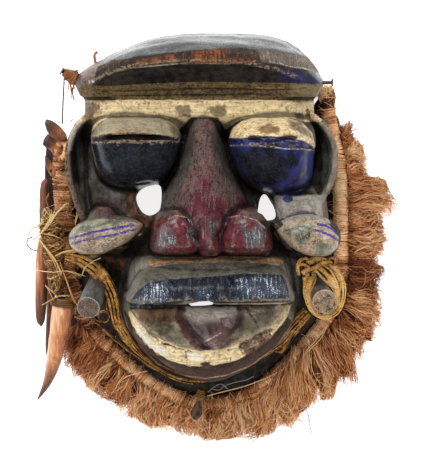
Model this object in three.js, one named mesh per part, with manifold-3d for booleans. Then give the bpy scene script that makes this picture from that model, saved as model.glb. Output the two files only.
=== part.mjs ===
// A carved and painted wooden face mask with a bound fibre beard, lying on its back.
// Millimetres: +X to the right of the face as seen, +Y towards the crown, +Z out of the face.
// The hollow back rests on z = 0, and the origin lies under the middle of the whole piece.
import * as THREE from "three";
import { mergeVertices } from "three/addons/utils/BufferGeometryUtils.js";
import Module from "manifold-3d";

const wasm = await Module();
wasm.setup();

const { lerp, smoothstep } = THREE.MathUtils;
const vec = (x, y, z) => new THREE.Vector3(x, y, z);

// Driving dimensions
const TOUCHING_GAP = 0.6; // round a bar set in the wood
const CLEARANCE = 0.7; // round the carving, for what is bound over it
const BELOW = -8; // cutting solids start this far under the rim

const ORIGIN_SHIFT = vec(0, 5.8, 0); // from the middle of the picture plane to under the whole piece

// Colours of the pieces
const COLOURS = {
  patina: 0x2e2a28,
  claw: 0xa5643c,
  peg: 0x6b6660,
  iron: 0x2b2622,
  rope: 0x8a5a38,
  fibre: 0xa2673a,
  cloth: 0xa5823a,
  raffia: 0xc9a15a,
  string: 0x4a3626,
  horn: 0x4a4643,
};

// The mask's shell. y, middle, half-width, height, squareness of the section
const SHELL = [
  [-147, -5, 9, 9, 2.2],
  [-143, -6, 27, 17, 2.2],
  [-135, -7, 43, 24, 2.3],
  [-122, -8, 59, 30, 2.3],
  [-108, -8, 72, 35, 2.4],
  [-84, -8.5, 94, 39.5, 2.6],
  [-62, -9, 106, 42, 2.8],
  [-40, -10, 111.5, 44, 2.8],
  [-15, -10, 112, 47, 2.8],
  [10, -10.5, 110, 51, 2.8],
  [40, -11, 107, 50, 3],
  [68, -12, 104, 50, 3.2],
  [86, -13, 100, 56, 4],
  [99, -14, 99, 74, 4.6],
  [118, -14.5, 98.5, 78, 4.8],
  [136, -14.5, 98, 78, 4.8],
];
// The hollow behind it. y, middle, half-width, height, squareness
const HOLLOW = [
  [-131, -5, 14, 8, 2.2],
  [-122, -5, 36, 17, 2.3],
  [-106, -6, 54, 24, 2.4],
  [-84, -7, 79, 28, 2.6],
  [-50, -8, 94, 31, 2.8],
  [-20, -9, 95, 34, 2.8],
  [10, -10, 94, 38, 2.8],
  [60, -12, 91, 37, 3],
  [86, -13, 87, 42, 3.4],
  [100, -14, 86, 59, 3.8],
  [124, -14.5, 85, 61, 4],
  [146, -14.5, 72, 57, 3.4],
  [155, -14.5, 50, 46, 3],
];
// The deeper hollow behind the mouth
const MOUTH_HOLLOW = [
  [-116, -6, 16, 18, 2.4],
  [-106, -6, 36, 44, 2.4],
  [-88, -6, 50, 58, 2.4],
  [-60, -6, 56, 61, 2.4],
  [-30, -6, 56, 60, 2.4],
  [-8, -7, 48, 50, 2.4],
  [6, -8, 32, 34, 2.4],
];

const VISOR = {
  middle: -14.5,
  halfWidth: 107.5,
  taper: 0.09, // how much narrower it is per millimetre of height above the temples
  cornerCut: 0.5, // and per millimetre below the corner of its ends
  cornerY: 130,
  under: 118, // where its underside leaves the forehead
  edgeY: 147, // front edge at the middle, and how far it droops at the ends
  edgeDroop: 22,
  edgeZ: 115,
  edgeRunback: 45,
  edgeBand: 9, // the worn band above the edge
  crown: 172,
  crownDroops: [38, 42], // how far the crown's line droops to the left and to the right
  crownShape: [2.1, 5.2], // and how square it is
  crownZ: 26,
  endLift: 34, // its ends stand this far off the rim
  sections: 24,
};

// Each eye is a loaf with a slit. y, half-width, height, squareness
const EYE_SECTIONS = [
  [104, 26, 68, 2.6],
  [100, 33.5, 84, 2.8],
  [93, 37.5, 98, 3.2],
  [86, 39, 106, 3.4],
  [81, 39, 106, 3.4],
  [70, 37, 101, 3.4],
  [59, 34.5, 93, 3.2],
  [51, 31, 84, 2.8],
  [45, 25, 73, 2.5],
  [41, 16, 60, 2.2],
  [38.5, 6, 48, 2],
];
const EYES = [
  { middle: -67, widthScale: 1, drop: 0, lean: -4 },
  { middle: 47, widthScale: 0.96, drop: -6, lean: 9 },
];
const EYE_SLIT = { y: 84, halfLength: 41, halfHeight: 2, arch: 3, depth: 15, front: 108 };

// The nose's bridge. y, middle, half-width, height, squareness
const NOSE = [
  [101, -10.5, 11, 74, 2.6],
  [95, -10.5, 12.5, 85, 2.4],
  [80, -10.5, 17, 93, 2.1],
  [62, -10.5, 24, 101, 1.8],
  [44, -10.5, 32.5, 108, 1.6],
  [28, -10.5, 40, 113, 1.5],
  [14, -10, 44, 112, 1.5],
  [0, -8.5, 43, 106, 1.6],
  [-8, -7, 41, 100, 1.8],
  [-11, -6, 39, 92, 2],
];
// A nostril wing. y, half-width, height, squareness
const WING_SECTIONS = [
  [25, 6, 100, 2.2],
  [21, 15, 107, 2.6],
  [12, 21, 112, 2.9],
  [0, 23.5, 113, 3.1],
  [-8, 24, 109, 3.1],
  [-12, 23, 97, 3],
  [-13.5, 21, 86, 3],
];
const WINGS = [
  { middle: -32.5, widthScale: 1 },
  { middle: 23.5, widthScale: 1.04 },
];
const NOSE_TIP = [
  [26, -9.5, 8, 113, 2.2],
  [10, -8, 10, 120, 2.4],
  [-4, -6, 10.5, 122, 2.4],
  [-10, -5.5, 10.5, 118, 2.4],
  [-12.5, -5, 10, 104, 2.4],
];

// The jaws. y, middle, half-width, height, squareness
const UPPER_JAW = [
  [4, -6, 54, 62, 2.4],
  [-10, -6, 61, 76, 2.6],
  [-18, -6, 66, 88, 2.8],
  [-26, -6, 69, 92, 2.8],
  [-40, -6, 72, 92, 2.8],
  [-51, -6, 73.5, 88, 2.8],
];
const UPPER_LIP = [
  [-23, -3.5, 55, 86, 5],
  [-28, -3.5, 60, 101, 5.5],
  [-33, -4, 64, 111, 6],
  [-43, -4.5, 68.5, 116, 6],
  [-50, -5, 71.5, 115, 6],
  [-52, -5, 71, 109, 6],
];
const LOWER_JAW = [
  [-50, -6, 74, 90, 4.6],
  [-62, -6, 74.5, 97, 4.6],
  [-76, -6, 72, 102, 4],
  [-90, -6, 64, 103.5, 3.4],
  [-100, -6, 54.5, 102, 3],
  [-107, -6, 46, 96, 2.7],
  [-115, -6, 36, 84, 2.4],
  [-122, -6, 25, 68, 2.2],
  [-127.5, -6, 13, 47, 2.2],
  [-130, -6, 6, 30, 2.2],
];
const DISH = { middle: vec(-5, -50, 112), radii: vec(84, 45, 38) };
const TONGUE = [
  [-51, -5, 40, 72, 2.2],
  [-58, -4, 38, 83, 2.2],
  [-66, -3, 33, 88, 2.2],
  [-76, -2, 25, 92, 2.2],
  [-84, -1, 17, 95, 2.2],
  [-92, 0, 8, 96.5, 2.2],
  [-97, 0, 2, 94, 2.2],
];
const MOUTH_SLIT = { middle: vec(-10, -56, 60), halfLength: 17, halfHeight: 2, depth: 60, slant: 0.125 };

// The raised cheeks under the eyes. y, middle, half-width, height, squareness
const CHEEKS = [
  [
    [24, -96, 8, 48, 2.3],
    [17, -96, 18, 55, 2.3],
    [8, -95, 24, 65, 2.4],
    [-2, -94, 25, 71, 2.6],
    [-11, -93, 21, 66, 2.6],
    [-16, -92, 14, 50, 2.4],
  ],
  [
    [44, 66, 16, 58, 3],
    [35, 67, 23, 69, 3.2],
    [20, 68, 24, 71, 3.2],
    [2, 72, 22, 70, 3],
    [-10, 74, 16, 58, 3],
  ],
];
// The almond-shaped cheek horns: from the pointed inner end to the blunt outer end
const HORNS = [
  { inner: vec(-60, 12, 80), outer: vec(-123, -3, 80), halfWidth: 15.5, halfHeight: 19 },
  { inner: vec(48, 11, 80), outer: vec(104, -3, 80), halfWidth: 17.5, halfHeight: 20 },
];

// The ear rims: x, y and height of the edge, from the temple down to the cheek
const EARS = [
  [
    [-106, 107, 56],
    [-118, 97, 66],
    [-126, 78, 72],
    [-126.5, 54, 71],
    [-121.5, 30, 62],
    [-115, 10, 52],
    [-110, -6, 46],
  ],
  [
    [80, 106, 56],
    [93, 96, 66],
    [101.5, 78, 72],
    [102.5, 56, 70],
    [97, 38, 62],
    [89, 24, 54],
    [85, 10, 48],
  ],
];
const EAR = { edge: 5, foot: 13, flare: 0.16 };

// The holes the wearer looks through: outline at the front and at the back
const LEFT_EYE_HOLE = {
  front: [
    [-71, 32], [-66, 39.5], [-56, 43], [-47, 43], [-46, 30], [-48, 21], [-57, 16], [-66, 20],
  ],
  back: [
    [-68, 31], [-63, 38], [-55, 42], [-47.5, 42], [-46.5, 30], [-49, 20], [-57, 16], [-64, 20],
  ],
};
const RIGHT_EYE_HOLE = {
  front: [
    [36, 13], [36, 27], [39, 35], [43, 36], [48, 30], [54, 22], [56, 13], [46, 11],
  ],
  back: [
    [36, 13.5], [36.5, 26], [39, 33], [42, 34], [45, 29], [48, 22], [49, 14], [44, 12.5],
  ],
};

// The pegs set in the cheeks, from socket to cut end, with the radius at each
const PEGS = [
  {
    name: "left_peg",
    foot: vec(-97.5, -30.5, 17),
    tip: vec(-106, -56, 95),
    footRadius: 7.5,
    tipRadius: 9.8,
  },
  { name: "right_peg", foot: vec(88, -47, 16), tip: vec(90, -51, 95), footRadius: 8, tipRadius: 10 },
];

// Iron nails in the ends of the visor, from point to head
const NAILS = [
  { name: "left_nail", point: vec(-100, 121, 54), head: vec(-130, 140, 60), headRadius: 3.6 },
  { name: "right_nail", point: vec(76, 129, 56), head: vec(98.5, 130, 60), headRadius: 3.3 },
  { name: "crown_nail", point: vec(-101, 139, 42), head: vec(-105.5, 159, 42), headRadius: 2.2 },
];
const NAIL = { shaft: 1.4, headHeight: 1.6 };
const NAIL_WRAP = [
  [-127.5, 138.4, 59.4, 3, 3],
  [-126, 138, 59.2, 5.2, 5],
  [-122, 135.2, 58.4, 6, 5.5],
  [-119, 133.4, 57.8, 4, 4],
];
const NAIL_STRING = [
  [-131.8, 135.6, 60, 0.9, 0.9],
  [-132.3, 125, 56, 0.9, 0.9],
  [-133, 112, 51, 0.9, 0.9],
  [-133.6, 97, 47.5, 0.9, 0.9],
];

// The wrapped rope bound round the rim, from the left temple under the chin to the right temple.
// x, y and radius; it runs at one height above the rim.
const RIM_ROPE = [
  [-134, 76, 7],
  [-134, 48, 8.5],
  [-132, 15, 8.5],
  [-131, -20, 8.5],
  [-127, -46, 8],
  [-118, -70, 7.5],
  [-104, -91, 7],
  [-86, -109, 6.5],
  [-66, -126, 6],
  [-44, -141, 6],
  [-20, -151.5, 6],
  [2, -152.5, 6],
  [20, -147.5, 6],
  [37, -138.5, 6],
  [51, -127, 6],
  [63, -115.5, 6],
  [74, -104, 6],
  [85, -92, 6.5],
  [97, -77, 7],
  [106, -60, 7],
  [109.5, -38, 7],
  [109.5, -10, 7],
  [109, 25, 7],
  [108, 50, 7],
  [105, 72, 7],
  [99.5, 92, 6.5],
  [97, 106, 6.5],
  [97.5, 118, 8],
  [97.5, 127, 4],
];
const ROPE_HEIGHT = 14;

// The fibre fringe. Each row gives a point beside the rope and one on the outline;
// a row between two bunches and a row in the middle of a bunch take turns.
const FRINGE = [
  [106, 93, 112, 93],
  [113, 72, 127, 70],
  [116, 50, 134, 48],
  [117, 30, 159, 24],
  [117.5, 12, 143, 8],
  [117.5, -8, 152, -12],
  [117.5, -22, 141, -26],
  [117.5, -38, 146, -44],
  [116, -52, 139, -63],
  [113, -64.5, 146, -84],
  [105.5, -78, 127, -108],
  [97.5, -88.5, 117, -135],
  [86.5, -100.5, 98, -151],
  [76, -112, 76, -167],
  [65, -123, 58, -177],
  [52, -136, 42, -184],
  [36, -148.5, 22, -178],
  [8, -160, 2, -183],
  [-14, -160.5, -22, -180],
  [-44, -149, -50, -178],
  [-62, -138, -72, -166],
  [-84, -120.5, -103, -152],
  [-100, -105, -119, -131],
  [-114, -88.5, -133, -121],
  [-123, -75, -134, -88],
];
const BUNCH = { floor: 0.6, rootHeight: 21, swell: 9, tipHeight: 7, gap: 0.018 };

// Carved wooden claws tied at the left: x, y, z, half-width and half-thickness along each
const CLAWS = [
  [
    [-128.5, 73, 36, 3, 3],
    [-132, 80, 39, 6, 5],
    [-138, 89, 42, 6.5, 5],
    [-144.5, 99.5, 45, 1.2, 1.5],
  ],
  [
    [-130.5, 64, 28, 2, 2],
    [-134, 69, 29.5, 4.5, 3],
    [-140, 77, 32, 6, 3.2],
    [-146, 82.5, 34, 5.5, 2.5],
  ],
  [
    [-144, 46, 30, 2, 2],
    [-143.8, 52, 32, 4, 3],
    [-144, 60, 34, 4, 2.5],
    [-146.5, 67, 35, 1, 1.2],
  ],
  [
    [-146.5, 47, 23.5, 3.6, 3],
    [-147.3, 38, 23.5, 5, 4],
    [-148, 20, 23.5, 5, 4],
    [-149, 2, 23.5, 4, 3.5],
  ],
  [
    [-150, -2, 24, 3, 3],
    [-151, -20, 24, 5, 4],
    [-152, -50, 23, 5.2, 4],
    [-153, -74, 22, 4, 3],
    [-152.6, -82, 21.5, 1.4, 1.4],
  ],
  [
    [-143.4, 0, 15, 2, 2.5],
    [-144, -30, 15, 3.2, 3.4],
    [-145, -70, 14, 3.4, 3.4],
    [-147, -98, 13, 2.8, 2.8],
    [-148.5, -110, 12.5, 0.8, 0.8],
  ],
  [
    [-131.5, -57, 37, 8, 6],
    [-132.5, -66, 36.5, 9.2, 7.5],
    [-136, -86, 34.5, 8.2, 7],
    [-141, -110, 30, 6.4, 6],
    [-147, -130, 22, 4, 4],
    [-157, -148.5, 12, 0.7, 0.7],
  ],
];

// The knotted raffia over the claws: x, y, z, half-width and half-thickness along it
const RAFFIA_TIE = [
  [-147, 33, 34, 2, 2],
  [-146, 20, 36, 5, 5],
  [-142, 4, 38, 9, 6.5],
  [-139.5, -14, 38, 9, 7],
  [-139, -32, 38, 6.5, 6],
  [-136.5, -47, 40, 6, 5],
  [-134, -54, 42, 3, 3],
];

// The cloth strip: x, y, z, half-width and half-thickness along it
const STRIP = [
  [-124, -20, 45, 5, 2.2],
  [-117, -22.5, 50, 6.4, 2.4],
  [-105.5, -26, 57, 6.8, 2.6],
  [-92.5, -35, 61, 6.6, 2.7],
  [-88, -53, 60, 5.6, 2.6],
  [-87.5, -71, 53, 5, 2.5],
  [-82, -89, 46, 4.2, 2.3],
  [-72, -103.5, 43, 2.8, 1.8],
  [-59, -115, 42, 1.8, 1.6],
  [-43, -124, 44, 1.5, 1.5],
  [-26, -130, 48, 1.5, 1.5],
  [-12, -132.8, 50, 1.5, 1.5],
  [6, -130, 50, 1.5, 1.5],
  [31, -117, 48, 1.6, 1.5],
  [49, -103, 46, 2.4, 1.7],
  [60.5, -91, 47, 4.6, 2.2],
  [71, -77, 52, 5, 2.4],
  [80, -65, 60, 4.4, 2.4],
];
const STRIP_LOOP = [
  [72.5, -30, 62, 3.6, 3],
  [79, -22, 63, 4, 3],
  [89, -25, 64, 4.4, 3],
  [99, -30, 64, 4.4, 3],
  [105, -40, 64, 3.6, 3],
  [106, -54, 64, 3, 3],
  [101, -64, 63, 3, 3],
  [91, -68, 62, 3, 3],
  [81, -64, 61, 3.4, 3],
  [75.5, -54, 60, 3.8, 3],
  [74.5, -41, 61, 3.8, 3],
];
const KNOTS = [
  { middle: vec(72, -26, 63), radii: vec(5.2, 7, 5) },
  { middle: vec(96, -21.5, 62), radii: vec(5, 3.4, 3) },
];

// The small dark drop tied under the chin: x, y, z, half-width and half-thickness along it
const PENDANT = [
  [-13, -135, 40, 2.2, 2],
  [-13.5, -140, 38, 3.4, 3],
  [-14.5, -145, 35, 2, 2],
  [-16, -152, 32, 4, 3],
  [-17.5, -158.5, 31, 4.8, 3.4],
  [-18, -162.5, 30.5, 2, 1.8],
];

// What counts as a sliver: edge length, height of a face, surface error and turn of a face
const CLEANING = { shortest: 0.5, flattest: 0.04, error: 0.19, turn: 0.6, rounds: 24 };

const power = (value, exponent) => Math.sign(value) * Math.abs(value) ** exponent;

// A manifold-3d solid from a closed geometry, with its faces turned to point outwards.
function solid(geometry) {
  const bare = geometry.clone().deleteAttribute("normal").deleteAttribute("uv");
  const merged = mergeVertices(bare, 1e-4);
  const make = (triVerts) =>
    new wasm.Manifold(
      new wasm.Mesh({ numProp: 3, vertProperties: merged.attributes.position.array, triVerts }),
    );
  const faces = new Uint32Array(merged.index.array);
  const made = make(faces);
  return made.volume() > 0 ? made : make(faces.reverse());
}

// A solid as a three.js geometry, with the slivers that cutting leaves merged away.
function geometryOf(made) {
  const { vertProperties, triVerts } = made.getMesh();
  const points = [];
  for (let i = 0; i < vertProperties.length; i += 3)
    points.push(new THREE.Vector3().fromArray(vertProperties, i));
  const faces = [];
  for (let i = 0; i < triVerts.length; i += 3) faces.push([...triVerts.slice(i, i + 3)]);
  for (let round = 0; round < CLEANING.rounds; round++) {
    const merged = mergeShortEdges(points, faces);
    const turned = turnFlatFaces(points, faces);
    if (!merged && !turned) break;
  }
  const geometry = new THREE.BufferGeometry().setFromPoints(points).setIndex(faces.flat());
  geometry.computeVertexNormals();
  return geometry;
}

const normalOf = (a, b, c) => b.clone().sub(a).cross(c.clone().sub(a)).normalize();

// The height of a triangle over its longest side.
function flatness(a, b, c) {
  const longest = Math.max(a.distanceTo(b), b.distanceTo(c), c.distanceTo(a));
  return b.clone().sub(a).cross(c.clone().sub(a)).length() / longest;
}

// The faces round each point.
function facesRound(points, faces) {
  const round = points.map(() => new Set());
  for (const face of faces) for (const i of face) round[i].add(face);
  return round;
}

// How far a point lies off the faces left when it moves onto its neighbour, or null where it can't.
function moveCost(points, round, from, to) {
  let cost = 0;
  for (const face of round[from]) {
    if (face.includes(to)) continue;
    const before = face.map((i) => points[i]);
    const after = face.map((i) => points[i === from ? to : i]);
    const normal = normalOf(...after);
    if (flatness(...after) < CLEANING.flattest) return null;
    if (flatness(...before) > CLEANING.flattest && normal.dot(normalOf(...before)) < CLEANING.turn)
      return null;
    cost = Math.max(cost, Math.abs(normal.dot(points[from].clone().sub(after[0]))));
  }
  return cost;
}

// Moves points onto a neighbour where the edge is short or the surface stays as it was.
function mergeShortEdges(points, faces) {
  const round = facesRound(points, faces);
  const edges = [];
  for (const [a, b, c] of faces)
    for (const [from, to] of [[a, b], [b, c], [c, a]])
      edges.push([from, to, points[from].distanceTo(points[to])]);
  edges.sort((one, other) => one[2] - other[2]);
  const moved = new Set();
  for (const [from, to, length] of edges) {
    if (moved.has(from) || moved.has(to)) continue;
    const beside = (i) => new Set([...round[i]].flat().filter((j) => j !== i));
    const shared = [...beside(from)].filter((i) => beside(to).has(i));
    if (shared.length !== 2) continue;
    const cost = moveCost(points, round, from, to);
    if (cost === null) continue;
    if (cost > (length < CLEANING.shortest ? CLEANING.shortest : CLEANING.error)) continue;
    for (const i of beside(from)) moved.add(i);
    moved.add(from);
    for (const face of [...round[from]])
      if (face.includes(to)) face.length = 0;
      else face[face.indexOf(from)] = to;
  }
  const kept = faces.filter((face) => face.length);
  faces.splice(0, faces.length, ...kept);
  return moved.size;
}

// Turns the long edge of a face with almost no height to the other diagonal.
function turnFlatFaces(points, faces) {
  const round = facesRound(points, faces);
  let turned = 0;
  const touched = new Set();
  for (const face of faces) {
    if (touched.has(face)) continue;
    const corners = face.map((i) => points[i]);
    if (flatness(...corners) > CLEANING.flattest) continue;
    const lengths = corners.map((p, i) => p.distanceTo(corners[(i + 1) % 3]));
    const k = lengths.indexOf(Math.max(...lengths));
    const [from, to, tip] = [face[k], face[(k + 1) % 3], face[(k + 2) % 3]];
    const other = [...round[from]].find((one) => one !== face && one.includes(to));
    if (!other || touched.has(other)) continue;
    const far = other.find((i) => i !== from && i !== to);
    if ([...round[tip]].some((one) => one.includes(far))) continue;
    const first = [tip, from, far];
    const second = [tip, far, to];
    const facing = normalOf(...other.map((i) => points[i]));
    const fine = [first, second].every(
      (one) => normalOf(...one.map((i) => points[i])).dot(facing) > CLEANING.turn,
    );
    if (!fine) continue;
    for (const one of [face, other]) for (const i of one) for (const near of round[i]) touched.add(near);
    face.splice(0, 3, ...first);
    other.splice(0, 3, ...second);
    turned++;
  }
  return turned;
}

// A cylinder reshaped to pass through a list of rings, each a loop with the same number of points.
function loft(rings) {
  const count = rings[0].length;
  const steps = rings.length - 1;
  const geometry = new THREE.CylinderGeometry(1, 1, steps, count, steps);
  const points = geometry.getAttribute("position");
  for (let i = 0; i < points.count; i++) {
    const at = new THREE.Vector3().fromBufferAttribute(points, i);
    const ring = rings[Math.round(steps / 2 - at.y)];
    const turn = Math.round((Math.atan2(at.x, at.z) / (2 * Math.PI)) * count);
    const onAxis = Math.hypot(at.x, at.z) < 0.5;
    const to = onAxis ? middleOf(ring) : ring[(turn + count) % count];
    points.setXYZ(i, to.x, to.y, to.z);
  }
  return solid(geometry);
}

// A torus reshaped to pass through a list of rings, from the last back to the first.
function hoop(rings) {
  const count = rings[0].length;
  const geometry = new THREE.TorusGeometry(2, 1, count, rings.length);
  const points = geometry.getAttribute("position");
  for (let i = 0; i < points.count; i++) {
    const ring = rings[(i % (rings.length + 1)) % rings.length];
    const to = ring[Math.floor(i / (rings.length + 1)) % count];
    points.setXYZ(i, to.x, to.y, to.z);
  }
  return solid(geometry);
}

const middleOf = (ring) =>
  ring.reduce((sum, point) => sum.add(point), vec(0, 0, 0)).divideScalar(ring.length);

// Smooth values between the rows of a table whose first column grows or falls steadily.
function between(table) {
  const rows = table[0][0] < table.at(-1)[0] ? table : [...table].reverse();
  const width = rows[0].length - 1;
  const spline = new THREE.CubicInterpolant(
    rows.map((row) => row[0]),
    rows.flatMap((row) => row.slice(1)),
    width,
  );
  return (at) => [...spline.evaluate(at)];
}

// One arched section across the mask at y, standing on the level z = base.
function arch(y, [middle, halfWidth, height, squareness], base, facets) {
  const ring = [];
  for (let i = 0; i <= facets; i++) {
    const angle = (Math.PI * i) / facets;
    const x = middle + halfWidth * power(Math.cos(angle), 2 / squareness);
    const z = base + (height - base) * power(Math.sin(angle), 2 / squareness);
    ring.push(vec(x, y, z));
  }
  return ring;
}

// A form carved across the mask: arches at even steps through a table of sections.
function carved(table, base, steps, facets) {
  const at = between(table);
  const rings = [];
  for (let i = 0; i <= steps; i++) {
    const y = lerp(table[0][0], table.at(-1)[0], i / steps);
    rings.push(arch(y, at(y), base, facets));
  }
  return loft(rings);
}

// A solid ball with its three radii, at a point.
function ball(middle, radii, around = 32, rows = 20) {
  const geometry = new THREE.SphereGeometry(1, around, rows);
  geometry.scale(radii.x, radii.y, radii.z).translate(middle.x, middle.y, middle.z);
  return solid(geometry);
}

// A bar swept through rows of x, y, z, half-width and half-thickness.
function swept(rows, steps, sides, closed = false) {
  const path = new THREE.CatmullRomCurve3(rows.map(([x, y, z]) => vec(x, y, z)), closed);
  const size = new THREE.CatmullRomCurve3(rows.map(([, , , w, t]) => vec(w, t, 0)), closed);
  const rings = [];
  for (let i = 0; i <= steps; i++) {
    const at = path.getPoint(i / steps);
    const along = path.getTangent(i / steps);
    const side = along.clone().cross(vec(0, 0, 1)).normalize();
    const up = side.clone().cross(along).normalize();
    const { x: width, y: thickness } = size.getPoint(i / steps);
    const ring = [];
    for (let j = 0; j < sides; j++) {
      const angle = (2 * Math.PI * j) / sides;
      ring.push(
        at
          .clone()
          .addScaledVector(side, Math.cos(angle) * width)
          .addScaledVector(up, Math.sin(angle) * thickness),
      );
    }
    rings.push(ring);
  }
  return closed ? hoop(rings.slice(0, -1)) : loft(rings);
}

// A round bar between two points.
function bar(from, to, fromRadius, toRadius, sides = 20) {
  const axis = to.clone().sub(from);
  const geometry = new THREE.CylinderGeometry(toRadius, fromRadius, axis.length(), sides);
  const turn = new THREE.Quaternion().setFromUnitVectors(vec(0, 1, 0), axis.clone().normalize());
  geometry.applyQuaternion(turn);
  const middle = from.clone().add(to).multiplyScalar(0.5);
  return solid(geometry.translate(middle.x, middle.y, middle.z));
}

// The overhanging visor, lofted from one end to the other.
function visor() {
  const rings = [];
  for (let i = 0; i <= VISOR.sections; i++) {
    const across = Math.sin(((i / VISOR.sections) * 2 - 1) * (Math.PI / 2));
    const reach = Math.abs(across);
    const edgeY = VISOR.edgeY - VISOR.edgeDroop * reach ** 2.6;
    const edgeZ = VISOR.edgeZ - VISOR.edgeRunback * reach ** 2.2;
    const end = across < 0 ? 0 : 1;
    const crown = VISOR.crown - VISOR.crownDroops[end] * reach ** VISOR.crownShape[end];
    const band = VISOR.edgeBand * (1 - 0.6 * reach ** 4);
    const meets = Math.min(77, edgeZ - 3);
    const foot = VISOR.endLift * smoothstep(reach, 0.84, 0.93);
    const path = new THREE.Path();
    path.moveTo(VISOR.under, foot);
    path.lineTo(VISOR.under, meets);
    path.quadraticCurveTo(edgeY - 9, meets + 5, edgeY, edgeZ);
    path.lineTo(edgeY + band * 0.9, edgeZ - band * 0.45);
    path.quadraticCurveTo(crown + 1, edgeZ * 0.8, crown, Math.max(VISOR.crownZ, foot + 4));
    path.lineTo(crown - 4, foot);
    const placed = ({ x: y, y: z }) => {
      const narrower = VISOR.cornerCut * Math.max(0, VISOR.cornerY - y);
      const half = VISOR.halfWidth - VISOR.taper * Math.max(0, z - 34) - narrower;
      return vec(VISOR.middle + half * across, y, z);
    };
    rings.push(path.getPoints(4).map(placed));
  }
  return loft(rings);
}

// One eye with its slit cut in.
function eye({ middle, widthScale, drop, lean }) {
  const last = EYE_SECTIONS.length - 1;
  const sections = EYE_SECTIONS.map(([y, half, height, squareness], i) => {
    const down = Math.max(0, EYE_SLIT.y - y) / (EYE_SLIT.y - EYE_SECTIONS[last][0]);
    return [y + (drop * i) / last, middle + lean * down ** 2, half * widthScale, height, squareness];
  });
  const loaf = carved(sections, 30, 13, 16);
  const slit = new THREE.SphereGeometry(1, 16, 6);
  slit.scale(EYE_SLIT.halfLength * widthScale, EYE_SLIT.halfHeight, EYE_SLIT.depth);
  const points = slit.getAttribute("position");
  for (let i = 0; i < points.count; i++) {
    const share = points.getX(i) / EYE_SLIT.halfLength;
    points.setY(i, points.getY(i) + EYE_SLIT.arch * (0.5 - share * share));
    points.setZ(i, points.getZ(i) - 14 * share * share);
  }
  slit.translate(middle, EYE_SLIT.y, EYE_SLIT.front);
  return loaf.subtract(solid(slit));
}

// One nostril wing.
function wing({ middle, widthScale }) {
  const sections = WING_SECTIONS.map(([y, half, height, squareness]) => [
    y, middle, half * widthScale, height, squareness,
  ]);
  return carved(sections, 40, 8, 12);
}

// A cheek horn: a long drop, pointed inside and blunt outside.
function horn({ inner, outer, halfWidth, halfHeight }) {
  const around = 12;
  const steps = 11;
  const axis = outer.clone().sub(inner);
  const side = vec(-axis.y, axis.x, 0).normalize();
  const rings = [];
  for (let i = 0; i <= steps; i++) {
    const share = (1 - Math.cos((Math.PI * i) / steps)) / 2;
    const [middle, bulge, close] = share < 0.55 ? [0.55, 1.7, 1.25] : [0.55, 2.6, 2.2];
    const reach = Math.abs(share - middle) / (share < middle ? middle : 1 - middle);
    const swell = Math.max(0.03, (1 - Math.min(1, reach) ** bulge) ** (1 / close));
    const centre = inner.clone().addScaledVector(axis, share);
    const ring = [];
    for (let j = 0; j < around; j++) {
      const angle = (2 * Math.PI * j) / around;
      const across = power(Math.cos(angle), 0.9) * halfWidth * swell;
      const up = power(Math.sin(angle), 0.9) * halfHeight * swell;
      ring.push(centre.clone().addScaledVector(side, across).add(vec(0, 0, up)));
    }
    rings.push(ring);
  }
  return loft(rings);
}

// An ear: a curved wall that flares outwards to a thin edge.
function ear(edge) {
  const curve = new THREE.CatmullRomCurve3(edge.map(([x, y, z]) => vec(x, y, z)));
  const steps = 14;
  const outwards = Math.sign(edge[2][0]);
  const rings = [];
  for (let i = 0; i <= steps; i++) {
    const top = curve.getPointAt(i / steps);
    const along = curve.getTangentAt(i / steps).setZ(0).normalize();
    const inwards = vec(-along.y, along.x, 0).multiplyScalar(outwards < 0 ? 1 : -1);
    const at = (inset, z) => top.clone().addScaledVector(inwards, inset).setZ(z);
    const lean = EAR.flare * top.z;
    rings.push([
      at(lean, 0),
      at(lean * 0.45, top.z * 0.55),
      at(0, top.z - 3),
      at(EAR.edge * 0.4, top.z),
      at(EAR.edge, top.z - 2),
      at(EAR.edge + 2, top.z * 0.6),
      at(lean + EAR.foot, 0),
    ]);
  }
  return loft(rings);
}

// A hole through the wall between two outlines of the same number of points.
function tapered({ front, back }, frontZ) {
  const ring = (outline, z) =>
    new THREE.CatmullRomCurve3(outline.map(([x, y]) => vec(x, y, z)), true, "catmullrom", 0.5)
      .getPoints(16)
      .slice(0, -1);
  return loft([ring(front, frontZ), ring(back, 12), ring(back, BELOW)]);
}

// The narrow opening under the upper lip, slanting down towards the chin at the back.
function mouthSlit() {
  const { middle, halfLength, halfHeight, depth, slant } = MOUTH_SLIT;
  const geometry = new THREE.SphereGeometry(1, 14, 8);
  geometry.scale(halfLength, halfHeight, depth);
  const points = geometry.getAttribute("position");
  for (let i = 0; i < points.count; i++) points.setY(i, points.getY(i) + slant * points.getZ(i));
  return solid(geometry.translate(middle.x, middle.y, middle.z));
}

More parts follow.
